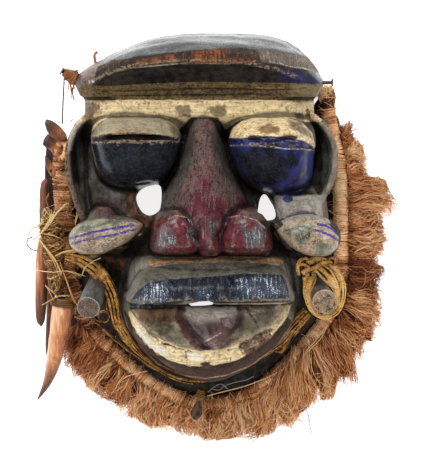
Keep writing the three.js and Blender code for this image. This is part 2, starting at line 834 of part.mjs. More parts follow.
// The whole carving, one piece of wood.
function carvedWood() {
  let wood = carved(SHELL, 0, 26, 22);
  wood = wood.add(visor());
  for (const edge of EARS) wood = wood.add(ear(edge));
  for (const one of EYES) wood = wood.add(eye(one));
  for (const cheek of CHEEKS) wood = wood.add(carved(cheek, 20, 6, 10));
  wood = wood.add(carved(NOSE, 36, 14, 14));
  for (const one of WINGS) wood = wood.add(wing(one));
  wood = wood.add(carved(NOSE_TIP, 60, 5, 8));
  for (const one of HORNS) wood = wood.add(horn(one));
  const dish = ball(DISH.middle, DISH.radii, 28, 18);
  const lower = carved(LOWER_JAW, 6, 13, 20).subtract(dish);
  wood = wood.add(lower).add(carved(UPPER_JAW, 20, 6, 16)).add(carved(UPPER_LIP, 40, 7, 16));
  wood = wood.add(carved(TONGUE, 40, 7, 12));
  wood = wood.subtract(carved(HOLLOW, BELOW, 16, 18));
  wood = wood.subtract(carved(MOUTH_HOLLOW, BELOW, 9, 14));
  wood = wood.subtract(tapered(LEFT_EYE_HOLE, 90)).subtract(tapered(RIGHT_EYE_HOLE, 76));
  wood = wood.subtract(mouthSlit());
  for (const peg of PEGS) wood = wood.subtract(pegSolid(peg, TOUCHING_GAP));
  for (const nail of NAILS) wood = wood.subtract(nailShaft(nail, TOUCHING_GAP));
  return wood;
}

function pegSolid({ foot, tip, footRadius, tipRadius }, grow = 0) {
  const axis = tip.clone().sub(foot).normalize();
  const start = foot.clone().addScaledVector(axis, -grow);
  return bar(start, tip.clone().addScaledVector(axis, grow), footRadius + grow, tipRadius + grow);
}

function nailShaft({ point, head }, grow = 0) {
  const axis = head.clone().sub(point).normalize();
  const start = point.clone().addScaledVector(axis, -grow);
  return bar(start, head, NAIL.shaft + grow, NAIL.shaft + grow, 8);
}

function nailSolid(nail) {
  const axis = nail.head.clone().sub(nail.point).normalize();
  const top = nail.head.clone().addScaledVector(axis, NAIL.headHeight);
  return nailShaft(nail).add(bar(nail.head, top, nail.headRadius, nail.headRadius, 12));
}

// One bunch of the fringe, between three rows of its table.
function bunch(rows, first) {
  const inner = new THREE.CatmullRomCurve3(rows.map(([x, y]) => vec(x, y, 0)));
  const outer = new THREE.CatmullRomCurve3(rows.map(([, , x, y]) => vec(x, y, 0)));
  const across = 5;
  const outwards = [0, 0.25, 0.6, 0.88, 1];
  const rings = outwards.map((share) => {
    const swell = BUNCH.swell * Math.sin(Math.PI * Math.min(1, share * 1.15));
    const height = lerp(BUNCH.rootHeight, BUNCH.tipHeight, share ** 1.5) + swell;
    const under = [];
    const over = [];
    for (let j = 0; j <= across; j++) {
      const t = (first + 2 * lerp(BUNCH.gap, 1 - BUNCH.gap, j / across)) / (rows.length - 1);
      const at = inner.getPoint(t).lerp(outer.getPoint(t), share);
      const round = 1 - 0.45 * Math.abs((2 * j) / across - 1) ** 3;
      under.push(at.clone().setZ(BUNCH.floor));
      over.push(at.clone().setZ(BUNCH.floor + height * round));
    }
    return [...under, ...over.reverse()];
  });
  return loft(rings);
}

// A piece cut back so that it clears a finished neighbour on every side.
function clearOf(piece, geometry, gap = CLEARANCE) {
  const shifts = [vec(gap, 0, 0), vec(-gap, 0, 0), vec(0, gap, 0), vec(0, -gap, 0), vec(0, 0, gap)];
  for (const { x, y, z } of shifts) piece = piece.subtract(solid(geometry.clone().translate(x, y, z)));
  return piece;
}

const mask = new THREE.Group();
mask.position.copy(ORIGIN_SHIFT);

function place(name, made, colour, roughness = 0.8, metalness = 0) {
  const material = new THREE.MeshStandardMaterial({ color: colour, roughness, metalness });
  const mesh = new THREE.Mesh(geometryOf(made), material);
  mesh.name = name;
  mask.add(mesh);
  return mesh;
}

const numbered = (name, i) => `${name}_${String(i + 1).padStart(2, "0")}`;

const carving = place("carved_mask", carvedWood(), COLOURS.patina, 0.45).geometry;
for (const peg of PEGS) place(peg.name, pegSolid(peg), COLOURS.peg, 0.6);
for (const nail of NAILS) place(nail.name, nailSolid(nail), COLOURS.iron, 0.6, 0.7);

const wrap = swept(NAIL_WRAP, 6, 9).subtract(nailShaft(NAILS[0], 0.8));
place("nail_wrap", clearOf(wrap, carving, 1.6), COLOURS.fibre);
place("nail_string", swept(NAIL_STRING, 4, 5), COLOURS.string);

const rope = swept(RIM_ROPE.map(([x, y, radius]) => [x, y, ROPE_HEIGHT, radius, radius]), 56, 8);
const bound = place("rim_rope", clearOf(rope, carving), COLOURS.rope).geometry;
for (let i = 0; i + 2 < FRINGE.length; i += 2) {
  const fibres = clearOf(bunch(FRINGE, i), bound);
  place(numbered("fibre_bunch", i / 2), fibres, COLOURS.fibre, 0.95);
}

CLAWS.forEach((rows, i) => place(numbered("claw", i), swept(rows, 7, 7), COLOURS.claw, 0.6));
place("raffia_tie", swept(RAFFIA_TIE, 8, 8), COLOURS.raffia, 0.9);

let strip = swept(STRIP, 34, 7).add(swept(STRIP_LOOP, 20, 7, true));
for (const { middle, radii } of KNOTS) strip = strip.add(ball(middle, radii, 8, 6));
for (const peg of PEGS) strip = strip.subtract(pegSolid(peg, TOUCHING_GAP));
place("cloth_strip", clearOf(strip, carving), COLOURS.cloth, 0.9);
place("chin_pendant", swept(PENDANT, 10, 8), COLOURS.horn, 0.5);

export default mask;
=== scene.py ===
"""A carved and painted wooden face mask with a bound fibre beard, lying face up on a pale floor.

Lengths are metres in the row frame: +X to the right of the face as seen, +Y towards the
crown, +Z out of the face. A table is a text with commas inside a row and spaces between rows,
and says where it is in millimetres. Outlines on the paintwork are given in the frame of the
picture, 432 wide and 472 high, and are laid on the wood by Viewpoint.
"""

from __future__ import annotations

import logging
import math
from dataclasses import dataclass, field
from enum import Enum
from typing import Mapping, Sequence, Union

import bmesh
import bpy
import numpy as np
from mathutils import Matrix, Vector
from mathutils.bvhtree import BVHTree
from mathutils.kdtree import KDTree

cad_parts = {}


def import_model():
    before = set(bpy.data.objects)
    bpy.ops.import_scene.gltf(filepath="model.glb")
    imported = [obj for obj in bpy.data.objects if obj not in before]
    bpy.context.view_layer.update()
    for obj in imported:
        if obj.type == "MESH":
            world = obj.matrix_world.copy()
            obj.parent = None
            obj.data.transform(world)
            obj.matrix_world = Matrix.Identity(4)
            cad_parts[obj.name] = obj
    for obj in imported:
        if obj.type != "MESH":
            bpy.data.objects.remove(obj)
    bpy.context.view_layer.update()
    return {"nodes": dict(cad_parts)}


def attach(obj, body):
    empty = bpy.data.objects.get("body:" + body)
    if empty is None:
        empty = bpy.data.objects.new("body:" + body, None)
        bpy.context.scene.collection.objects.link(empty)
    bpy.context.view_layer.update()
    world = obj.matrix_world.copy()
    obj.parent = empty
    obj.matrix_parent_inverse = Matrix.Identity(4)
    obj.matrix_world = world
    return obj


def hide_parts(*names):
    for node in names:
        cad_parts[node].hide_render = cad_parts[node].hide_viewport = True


LOG = logging.getLogger("mask")
MM = 0.001
TABLE_SHIFT = 0.0058  # the tables' y = 0 lies this far up the row frame's Y

Place = tuple[float, float, float]
Rows = tuple[tuple[float, ...], ...]
Share = Union[float, np.ndarray]
Stops = tuple[tuple[float, str], ...]
Colour = tuple[float, float, float, float]


def paint(hex_code: str) -> Colour:
    """A colour as it looks on screen, in the renderer's linear values.

    Args:
        hex_code: red, green and blue, such as "c8a070".

    Returns:
        Its red, green and blue, and 1.
    """
    parts = [int(hex_code[i : i + 2], 16) / 255 for i in (0, 2, 4)]
    linear = [c / 12.92 if c <= 0.04045 else ((c + 0.055) / 1.055) ** 2.4 for c in parts]
    return (linear[0], linear[1], linear[2], 1.0)


def ease(value: np.ndarray, low: float, high: float) -> np.ndarray:
    """A smooth step from 0 at low to 1 at high."""
    share = np.clip((value - low) / (high - low), 0.0, 1.0)
    return share * share * (3.0 - 2.0 * share)


def rows_of(text: str) -> Rows:
    """The rows of numbers in a text such as "1,2 3,4"."""
    return tuple(tuple(float(part) for part in row.split(",")) for row in text.split())


def outlines_of(text: str) -> tuple[Rows, ...]:
    """The outlines in a text that parts them by semicolons."""
    return tuple(rows_of(part) for part in text.split(";") if part.strip())


def strokes_of(text: str) -> list[tuple[tuple[float, ...], Rows]]:
    """The strokes in a text: each is its sizes, a colon and its way, parted by semicolons."""
    parts = [part.split(":") for part in text.split(";") if part.strip()]
    return [(tuple(float(size) for size in sizes.split()), rows_of(way)) for sizes, way in parts]


def laid(text: str) -> np.ndarray:
    """A table in millimetres, its first columns x and y, as metres in the row frame.

    Args:
        text: the table.

    Returns:
        The table, metres.
    """
    table = np.asarray(rows_of(text)) * MM
    table[:, 1] += TABLE_SHIFT
    return table


# The picture's frame


@dataclass(frozen=True)
class Viewpoint:
    """Where the camera stands above the lying mask, and where a point falls in its frame."""

    distance: float = 1.5
    target_height: float = 0.055
    tilt: float = math.radians(5.0)
    focal: float = 1764.7
    width: int = 432
    height: int = 472

    def seen(self, points: np.ndarray) -> np.ndarray:
        """Places in the picture.

        Args:
            points: n by 3, metres.

        Returns:
            n by 2, in the picture's own units from its upper left corner.
        """
        s, c = math.sin(self.tilt), math.cos(self.tilt)
        y = points[:, 1] - TABLE_SHIFT
        z = points[:, 2] - self.target_height
        away = self.distance - y * s - z * c
        across = self.width / 2 + self.focal * points[:, 0] / away
        down = self.height / 2 - self.focal * (y * c - z * s) / away
        return np.stack([across, down], axis=1)

    def at(self, across: float, down: float, height: float) -> Vector:
        """The point at a height above the floor that falls on a place in the picture.

        Args:
            across: place from the picture's left side.
            down: place from its upper side.
            height: metres above the floor.

        Returns:
            The point, in metres.
        """
        s, c = math.sin(self.tilt), math.cos(self.tilt)
        z = height - self.target_height
        up = self.height / 2 - down
        y = (up * (self.distance - z * c) + self.focal * z * s) / (self.focal * c + up * s)
        away = self.distance - y * s - z * c
        return Vector(((across - self.width / 2) * away / self.focal, y + TABLE_SHIFT, height))

    def through(self, text: str) -> np.ndarray:
        """The points of a text whose rows are across, down and millimetres above the floor."""
        return np.array([self.at(across, down, height * MM) for across, down, height in rows_of(text)])

    def eye(self) -> Vector:
        """Where the camera stands."""
        s, c = math.sin(self.tilt), math.cos(self.tilt)
        return Vector((0, self.distance * s + TABLE_SHIFT, self.target_height + self.distance * c))

    def camera(self) -> bpy.types.Object:
        """The camera, looking down from a little towards the crown.

        Returns:
            The camera.
        """
        data = bpy.data.cameras.new("camera")
        data.sensor_width = 36.0
        data.lens = data.sensor_width * self.focal / self.height
        data.clip_end = 20.0
        camera = bpy.data.objects.new("camera", data)
        bpy.context.scene.collection.objects.link(camera)
        s, c = math.sin(self.tilt), math.cos(self.tilt)
        place = self.eye()
        camera.matrix_world = Matrix(
            ((1, 0, 0, place[0]), (0, c, s, place[1]), (0, -s, c, place[2]), (0, 0, 0, 1))
        )
        bpy.context.scene.camera = camera
        return camera


VIEW = Viewpoint()


# Shader maths

Value = Union["Socket", str, float, Sequence[float]]


class Socket:
    """An output of a shader node. Arithmetic on it adds Math or Vector Math nodes."""

    def __init__(self, shader: "Shader", output: bpy.types.NodeSocket) -> None:
        """Keeps the output and the shader that it belongs to."""
        self.shader = shader
        self.output = output

    def _maths(self, operation: str, *terms: Value) -> "Socket":
        """The result of an operation on numbers, or on vectors where this is one.

        Args:
            operation: its name.
            *terms: what it works on.

        Returns:
            The result.
        """
        vector = self.output.type == "VECTOR"
        kind = "ShaderNodeVectorMath" if vector else "ShaderNodeMath"
        if vector:
            terms = tuple((t,) * 3 if isinstance(t, (int, float)) else t for t in terms)
        return self.shader.node(kind, {"operation": operation}, dict(enumerate(terms)))

    def __add__(self, other: Value) -> "Socket":
        """This plus another."""
        return self._maths("ADD", self, other)

    __radd__ = __add__

    def __sub__(self, other: Value) -> "Socket":
        """This less another."""
        return self._maths("SUBTRACT", self, other)

    def __rsub__(self, other: Value) -> "Socket":
        """Another less this."""
        return self._maths("SUBTRACT", other, self)

    def __mul__(self, other: Value) -> "Socket":
        """This times another."""
        return self._maths("MULTIPLY", self, other)

    __rmul__ = __mul__

    def step(self, low: float, high: float) -> "Socket":
        """A smooth step of this from 0 at low to 1 at high.

        Args:
            low: where it starts.
            high: where it ends.

        Returns:
            The step.
        """
        settings = {"interpolation_type": "SMOOTHSTEP"}
        sockets = {"Value": self, "From Min": low, "From Max": high}
        return self.shader.node("ShaderNodeMapRange", settings, sockets)


class Shader:
    """A node material under construction, with one Principled surface."""

    def __init__(self, name: str) -> None:
        """Starts an empty material.

        Args:
            name: its name.
        """
        self.material = bpy.data.materials.new(name)
        self.material.use_nodes = True
        self.tree = self.material.node_tree
        self.surface = self.tree.nodes["Principled BSDF"]

    def node(
        self,
        kind: str,
        settings: Mapping[str, object] | None = None,
        sockets: Mapping[Union[str, int], Value] | None = None,
        out: Union[str, int] = 0,
    ) -> Socket:
        """Adds a node.

        Args:
            kind: the node's type.
            settings: properties, set first; "stops" gives a ramp its places and colours.
            sockets: values or links by the input's name or number.
            out: the output's name or number.

        Returns:
            That output.
        """
        made = self.tree.nodes.new(kind)
        for name, value in (settings or {}).items():
            if name == "stops":
                self._stops(made.color_ramp, value)
            else:
                setattr(made, name, value)
        for name, value in (sockets or {}).items():
            self._feed(made.inputs[name], value)
        return Socket(self, made.outputs[out])

    def _feed(self, socket: bpy.types.NodeSocket, value: Value) -> None:
        """Gives an input a link, a colour such as "c8a070", a number or a vector.

        Args:
            socket: the input.
            value: what it gets.
        """
        if isinstance(value, Socket):
            self.tree.links.new(value.output, socket)
        else:
            socket.default_value = paint(value) if isinstance(value, str) else value

    def _stops(self, ramp: bpy.types.ColorRamp, stops: Stops) -> None:
        """Gives a ramp its stops.

        Args:
            ramp: the ramp.
            stops: its places and colours.
        """
        while len(ramp.elements) < len(stops):
            ramp.elements.new(1.0)
        for element, (place, colour) in zip(ramp.elements, stops):
            element.position = place
            element.color = paint(colour)

    def data(self, name: str) -> Socket:
        """A number stored on the mesh under a name."""
        return self.node("ShaderNodeAttribute", {"attribute_name": name}, out="Fac")

    def ramp(self, value: Socket, *stops: tuple[float, str]) -> Socket:
        """A colour on a ramp of places and colours, read at a value."""
        return self.node("ShaderNodeValToRGB", {"stops": stops}, {0: value})

    def noise(self, grain: float, detail: float = 3.0, stretch: Sequence[float] = (1, 1, 1)) -> Socket:
        """Noise over the piece.

        Args:
            grain: the size of its patches in metres.
            detail: how many finer layers it has.
            stretch: how much longer they are along each axis.

        Returns:
            A number about 0.5.
        """
        scale = tuple(1 / (grain * s) for s in stretch)
        spot = self.node("ShaderNodeTexCoord", out="Object") * scale
        return self.node("ShaderNodeTexNoise", {}, {"Vector": spot, "Scale": 1.0, "Detail": detail})

    def mix(self, share: Value, first: Value, second: Value) -> Socket:
        """A colour between two others, by how much of the second it has."""
        return self.node("ShaderNodeMix", {"data_type": "RGBA"}, {0: share, 6: first, 7: second}, 2)

    def between(self, share: Value, first: Value, second: Value) -> Socket:
        """A number between two others."""
        return self.node("ShaderNodeMix", {"data_type": "FLOAT"}, {0: share, 2: first, 3: second})

    def bump(self, height: Socket, depth: float, strength: float = 1.0) -> Socket:
        """A normal raised by a height of 0 to 1 over a depth in metres."""
        sockets = {"Height": height, "Distance": depth, "Strength": strength}
        return self.node("ShaderNodeBump", {}, sockets)

    def finish(self, **sockets: Value) -> bpy.types.Material:
        """Sets the surface.

        Args:
            sockets: its inputs, with underlines for the spaces in their names.

        Returns:
            The material.
        """
        for name, value in sockets.items():
            self._feed(self.surface.inputs[name.replace("_", " ")], value)
        return self.material


# Numbers for shapes


class Lattice:
    """Smooth and cellular noise over space, the same on every run."""

    size = 32  # cells along each side, after which it repeats

    def __init__(self, seed: int) -> None:
        """Draws the lattice's numbers.

        Args:
            seed: what they are drawn from.
        """
        numbers = np.random.default_rng(seed)
        self.values = numbers.uniform(-1, 1, (self.size,) * 3)
        self.seeds = numbers.uniform(0.1, 0.9, (self.size,) * 3 + (3,))

    def smooth(self, points: np.ndarray, grain: Union[float, Sequence[float]]) -> np.ndarray:
        """Noise from about -1 to 1 at each point, with patches of a size in metres.

        Args:
            points: n by 3, metres.
            grain: the size of its patches, metres.

        Returns:
            The noise.
        """
        spot = points / np.asarray(grain, float)
        cell = np.floor(spot).astype(int)
        f = spot - cell
        f = f * f * (3 - 2 * f)
        total = np.zeros(len(points))
        for i in (0, 1):
            for j in (0, 1):
                for k in (0, 1):
                    share = (
                        (f[:, 0] if i else 1 - f[:, 0])
                        * (f[:, 1] if j else 1 - f[:, 1])
                        * (f[:, 2] if k else 1 - f[:, 2])
                    )
                    a, b, c = ((cell + (i, j, k)) % self.size).T
                    total += share * self.values[a, b, c]
        return total

    def cells(
        self, points: np.ndarray, grain: Union[float, Sequence[float]]
    ) -> tuple[np.ndarray, np.ndarray]:
        """Each point among scattered points.

        Args:
            points: n by 3, metres.
            grain: how far apart they are scattered, metres.

        Returns:
            Distances to the nearest and the second nearest, in grains, and the nearest's own
            number from 0 to 1.
        """
        spot = points / np.asarray(grain, float)
        cell = np.floor(spot).astype(int)
        near = np.full((len(points), 2), 9.0)
        mark = np.zeros(len(points))
        for i in (-1, 0, 1):
            for j in (-1, 0, 1):
                for k in (-1, 0, 1):
                    there = cell + (i, j, k)
                    a, b, c = (there % self.size).T
                    away = np.linalg.norm(there + self.seeds[a, b, c] - spot, axis=1)
                    closer = away < near[:, 0]
                    near[:, 1] = np.where(closer, near[:, 0], np.minimum(near[:, 1], away))
                    near[:, 0] = np.minimum(near[:, 0], away)
                    mark = np.where(closer, self.values[a, b, c] * 0.5 + 0.5, mark)
        return near, mark


def to_line(places: np.ndarray, line: Rows, closed: bool = False) -> np.ndarray:
    """Distance of each place from a line through points, in the picture's units.

    Args:
        places: n by 2.
        line: its bends.
        closed: whether it joins its own start.

    Returns:
        The distances.
    """
    nearest = np.full(len(places), 1e9)
    ends = list(line[1:]) + ([line[0]] if closed else [])
    for start, end in zip(line, ends):
        a, b = np.asarray(start, float), np.asarray(end, float)
        share = np.clip(((places - a) @ (b - a)) / max((b - a) @ (b - a), 1e-9), 0, 1)
        away = np.linalg.norm(places - a - share[:, None] * (b - a), axis=1)
        nearest = np.minimum(nearest, away)
    return nearest


def inside(places: np.ndarray, outline: Rows) -> np.ndarray:
    """How far each place lies inside an outline, below 0 outside it, in the picture's units.

    Args:
        places: n by 2.
        outline: its corners.

    Returns:
        The distances from its edge.
    """
    within = np.zeros(len(places), bool)
    for (x0, y0), (x1, y1) in zip(outline, outline[1:] + outline[:1]):
        crosses = (y0 > places[:, 1]) != (y1 > places[:, 1])
        slope = (x1 - x0) / (y1 - y0) if y1 != y0 else 0.0
        within ^= crosses & (places[:, 0] < x0 + (places[:, 1] - y0) * slope)
    away = to_line(places, outline, closed=True)
    return np.where(within, away, -away)


def curve_through(rows: np.ndarray, count: int, closed: bool = False) -> np.ndarray:
    """Even points on a smooth curve through rows of numbers.

    Args:
        rows: n by m, the first three columns being a place.
        count: how many points.
        closed: whether it joins its own start.

    Returns:
        count by m.
    """
    rows = np.asarray(rows, float)
    if closed:
        full = np.vstack([rows[-1], rows, rows[:2]])
    else:
        full = np.vstack([2 * rows[0] - rows[1], rows, 2 * rows[-1] - rows[-2]])
    fine = []
    steps = 24
    for i in range(1, len(full) - 2):
        for t in np.arange(steps) / steps:
            fine.append(curved(*full[i - 1 : i + 3], t))
    fine.append(full[len(full) - 2])
    line = np.asarray(fine)
    run = run_along(line)
    return between_points(np.linspace(0, run[-1], count, endpoint=not closed), run, line)


def curved(
    before: np.ndarray, here: np.ndarray, onward: np.ndarray, after: np.ndarray, t: Share
) -> np.ndarray:
    """A row on the smooth curve from here to onward, at a share t of the way.

    Args:
        before: the row before here.
        here: the row at 0.
        onward: the row at 1.
        after: the row after onward.
        t: the share.

    Returns:
        The row.
    """
    return 0.5 * (
        2 * here
        + (onward - before) * t
        + (2 * before - 5 * here + 4 * onward - after) * t * t
        + (3 * here - before - 3 * onward + after) * t**3
    )


def run_along(line: np.ndarray) -> np.ndarray:
    """How far along a line each of its points lies."""
    return np.concatenate([[0], np.cumsum(np.linalg.norm(np.diff(line[:, :3], axis=0), axis=1))])


def between_points(spots: np.ndarray, run: np.ndarray, rows: np.ndarray) -> np.ndarray:
    """Rows at spots along a line whose own rows lie at run."""
    return np.stack([np.interp(spots, run, rows[:, k]) for k in range(rows.shape[1])], axis=-1)


# Meshes


@dataclass
class Skin:
    """Points, triangles and numbers on the points, gathered before they become a mesh."""

    points: list[np.ndarray] = field(default_factory=list)
    faces: list[np.ndarray] = field(default_factory=list)
    numbers: dict[str, list[np.ndarray]] = field(default_factory=dict)
    count: int = 0

    def add(self, points: np.ndarray, faces: np.ndarray, **numbers: Union[float, np.ndarray]) -> None:
        """Adds a closed shape.

        Args:
            points: n by 3, metres.
            faces: m by 3, counting from this shape's first point.
            numbers: values for its points, the same names each time.
        """
        self.points.append(points)
        self.faces.append(faces + self.count)
        for name, value in numbers.items():
            full = np.broadcast_to(np.asarray(value, float), (len(points),))
            self.numbers.setdefault(name, []).append(full)
        self.count += len(points)

    def piece(self, name: str) -> bpy.types.Object:
        """Makes the object of that name, at the origin and smoothly shaded.

        Args:
            name: what it is called.

        Returns:
            The object.
        """
        points = np.concatenate(self.points)
        faces = np.concatenate(self.faces)
        mesh = bpy.data.meshes.new(name)
        mesh.vertices.add(len(points))
        mesh.vertices.foreach_set("co", points.astype(np.float32).ravel())
        mesh.loops.add(faces.size)
        mesh.loops.foreach_set("vertex_index", faces.astype(np.int32).ravel())
        mesh.polygons.add(len(faces))
        mesh.polygons.foreach_set("loop_start", np.arange(0, faces.size, 3, dtype=np.int32))
        mesh.update(calc_edges=True)
        mesh.validate()
        mesh.polygons.foreach_set("use_smooth", np.full(len(mesh.polygons), True))
        for key, values in self.numbers.items():
            store(mesh, key, np.concatenate(values))
        made = bpy.data.objects.new(name, mesh)
        bpy.context.scene.collection.objects.link(made)
        return made


def store(mesh: bpy.types.Mesh, name: str, values: np.ndarray) -> None:
    """Stores a number on each point of a mesh."""
    layer = mesh.attributes.get(name) or mesh.attributes.new(name, "FLOAT", "POINT")
    layer.data.foreach_set("value", values.astype(np.float32))


def places_of(mesh: bpy.types.Mesh) -> np.ndarray:
    """The points of a mesh, n by 3.

    Args:
        mesh: the mesh.

    Returns:
        Metres.
    """
    flat = np.empty(len(mesh.vertices) * 3, np.float32)
    mesh.vertices.foreach_get("co", flat)
    return flat.reshape(-1, 3).astype(float)


def normals_of(mesh: bpy.types.Mesh) -> np.ndarray:
    """The normals of a mesh's points, n by 3.

    Args:
        mesh: the mesh.

    Returns:
        Directions of length 1.
    """
    flat = np.empty(len(mesh.vertices) * 3, np.float32)
    mesh.vertex_normals.foreach_get("vector", flat)
    return flat.reshape(-1, 3).astype(float)


def move_points(mesh: bpy.types.Mesh, points: np.ndarray) -> None:
    """Gives a mesh new places for its points."""
    mesh.vertices.foreach_set("co", points.astype(np.float32).ravel())
    mesh.update()


def normalised(vectors: np.ndarray) -> np.ndarray:
    """The directions of vectors, each in the last axis."""
    return vectors / np.maximum(np.linalg.norm(vectors, axis=-1), 1e-9)[..., None]


def sweep(
    line: np.ndarray,
    sections: np.ndarray,
    up: Sequence[float] = (0, 0, 1),
    closed: bool = False,
) -> tuple[np.ndarray, np.ndarray]:
    """A closed skin through sections set along a line.

    Args:
        line: n by 3, the middle of each section.
        sections: n by k by 2, each section's points: sideways, and up.
        up: what counts as up.
        closed: whether the line joins its own start.

    Returns:
        The points and the triangles, which face outwards.
    """
    if closed:
        along = np.roll(line, -1, 0) - np.roll(line, 1, 0)
    else:
        along = np.gradient(line, axis=0)
    along = normalised(along)
    side = normalised(np.cross(along, np.asarray(up, float)))
    above = np.cross(side, along)
    rings = (
        line[:, None, :]
        + sections[:, :, :1] * side[:, None, :]
        + sections[:, :, 1:] * above[:, None, :]
    )
    points = rings.reshape(-1, 3)
    if not closed:
        points = np.vstack([points, line[:1], line[-1:]])
    return points, tube_faces(*sections.shape[:2], closed)


def tube_faces(count: int, around: int, closed: bool = False) -> np.ndarray:
    """The triangles of a tube.

    Args:
        count: how many rings it has.
        around: how many points each ring has.
        closed: whether it joins its own start; otherwise two more points follow the rings, the
            middles of its first and its last end.

    Returns:
        The triangles, which face outwards.
    """
    i, j = np.meshgrid(np.arange(count if closed else count - 1), np.arange(around), indexing="ij")
    a, b = i * around + j, i * around + (j + 1) % around
    c, d = ((i + 1) % count) * around + (j + 1) % around, ((i + 1) % count) * around + j
    faces = np.concatenate([np.stack([a, b, c], -1), np.stack([a, c, d], -1)]).reshape(-1, 3)
    if closed:
        return faces
    ring = np.arange(around)
    turn = (ring + 1) % around
    first, last, end = count * around, count * around + 1, (count - 1) * around
    start_cap = np.stack([np.full(around, first), turn, ring], -1)
    end_cap = np.stack([np.full(around, last), end + ring, end + turn], -1)
    return np.concatenate([faces, start_cap, end_cap])


def round_sections(widths: np.ndarray, heights: np.ndarray, around: int) -> np.ndarray:
    """Oval sections, n by around by 2, from half-widths and half-heights.

    Args:
        widths: n, half of each.
        heights: n, half of each.
        around: how many points each has.

    Returns:
        The sections.
    """
    angle = -np.arange(around) * 2 * math.pi / around
    wide = widths[:, None] * np.cos(angle)[None, :]
    high = heights[:, None] * np.sin(angle)[None, :]
    return np.stack([wide, high], -1)


def strands(lines: np.ndarray, radii: np.ndarray, around: int = 3) -> tuple[np.ndarray, np.ndarray]:
    """Many thin closed tubes at once.

    Args:
        lines: s by n by 3, the line of each strand.
        radii: s by n, its radius along it.
        around: how many sides each has.

    Returns:
        The points, strand by strand with n rings and two ends each, and the triangles.
    """
    count, steps = lines.shape[:2]
    along = normalised(np.gradient(lines, axis=1))
    side = normalised(np.cross(along, (0.13, 0.21, 0.97)))
    above = np.cross(side, along)
    angle = -np.arange(around) * 2 * math.pi / around
    ring = np.cos(angle)[:, None] * side[:, :, None, :] + np.sin(angle)[:, None] * above[:, :, None, :]
    rings = lines[:, :, None, :] + radii[:, :, None, None] * ring
    each = steps * around + 2
    points = np.concatenate(
        [rings.reshape(count, steps * around, 3), lines[:, :1], lines[:, -1:]], axis=1
    )
    starts = (np.arange(count) * each)[:, None, None]
    return points.reshape(-1, 3), (tube_faces(steps, around)[None] + starts).reshape(-1, 3)


def pick_only(piece: bpy.types.Object) -> None:
    """Makes one object the only one selected, and the active one.

    Args:
        piece: the object.
    """
    bpy.ops.object.select_all(action="DESELECT")
    piece.select_set(True)
    bpy.context.view_layer.objects.active = piece


def with_modifier(piece: bpy.types.Object, kind: str, **settings: object) -> None:
    """Adds a modifier, sets it and applies it.

    Args:
        piece: the object.
        kind: the modifier's type.
        **settings: its settings.
    """
    pick_only(piece)
    modifier = piece.modifiers.new(kind.lower(), kind)
    for name, value in settings.items():
        setattr(modifier, name, value)
    bpy.ops.object.modifier_apply(modifier=modifier.name)


def crease_by_angle(piece: bpy.types.Object, degrees: float = 50) -> None:
    """Shades a piece smoothly, but for creases where its faces meet at more than an angle."""
    pick_only(piece)
    bpy.ops.object.shade_smooth_by_angle(angle=math.radians(degrees))


def settle(piece: bpy.types.Object, material: bpy.types.Material, slot: str, *nodes: str) -> None:
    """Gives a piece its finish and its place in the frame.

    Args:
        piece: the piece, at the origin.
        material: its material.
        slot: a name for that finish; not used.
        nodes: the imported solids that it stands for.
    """
    piece.data.materials.clear()
    piece.data.materials.append(material)
    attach(piece, "root")
    if nodes:
        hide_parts(*nodes)
    piece.data.calc_loop_triangles()
    LOG.info("%s: %d triangles", piece.name, len(piece.data.loop_triangles))


# The carving's paintwork

COAT_REACH = 12.0  # how far from a coat's edge its distance is still told, in the picture's units


class Brushed(Enum):
    """Which way the marks in a coat run."""

    CLOUDY = "no way in particular"
    LEVEL = "across the face"
    UPRIGHT = "from crown to chin"


@dataclass(frozen=True)
class Coat:
    """One kind of paint, stain or bare wood, or a painted highlight or shade, and where it lies on the
    carving.

    Areas and lines are texts in the picture's frame: outlines, and strokes with a width.

    Attributes:
        name: what it is called, also as the number stored on the mesh.
        light: its lighter colour.
        dark: its darker colour.
        areas: outlines that it covers.
        lines: strokes that it covers, each a width, a colon and its way.
        rough: its roughness.
        gloss: how much clear gloss lies on it.
        soft: how wide its edge fades.
        ragged: how far its edge wanders.
        worn: how much of it has worn through.
        lowest: the least height above the floor at which it lies, metres.
        marks: which way its marks run.
        fleck: the colour of the flecks in it.
        flecked: how many flecks show, from 0 to 1.
    """

    name: str
    light: str
    dark: str
    areas: str = ""
    lines: str = ""
    rough: float = 0.5
    gloss: float = 0.0
    soft: float = 1.2
    ragged: float = 2.0
    worn: float = 0.0
    lowest: float = 0.0
    marks: Brushed = Brushed.CLOUDY
    fleck: str = "8c8172"
    flecked: float = 0.0

    def extent(self, spot: np.ndarray) -> np.ndarray:
        """How far each place in the picture lies inside its areas and strokes.

        Args:
            spot: n by 2, places in the picture.

        Returns:
            The distances from its edge.
        """
        best = np.full(len(spot), -COAT_REACH)
        for outline in outlines_of(self.areas):
            best = np.maximum(best, inside(spot, outline))
        for (width,), line in strokes_of(self.lines):
            best = np.maximum(best, width / 2 - to_line(spot, line))
        return best


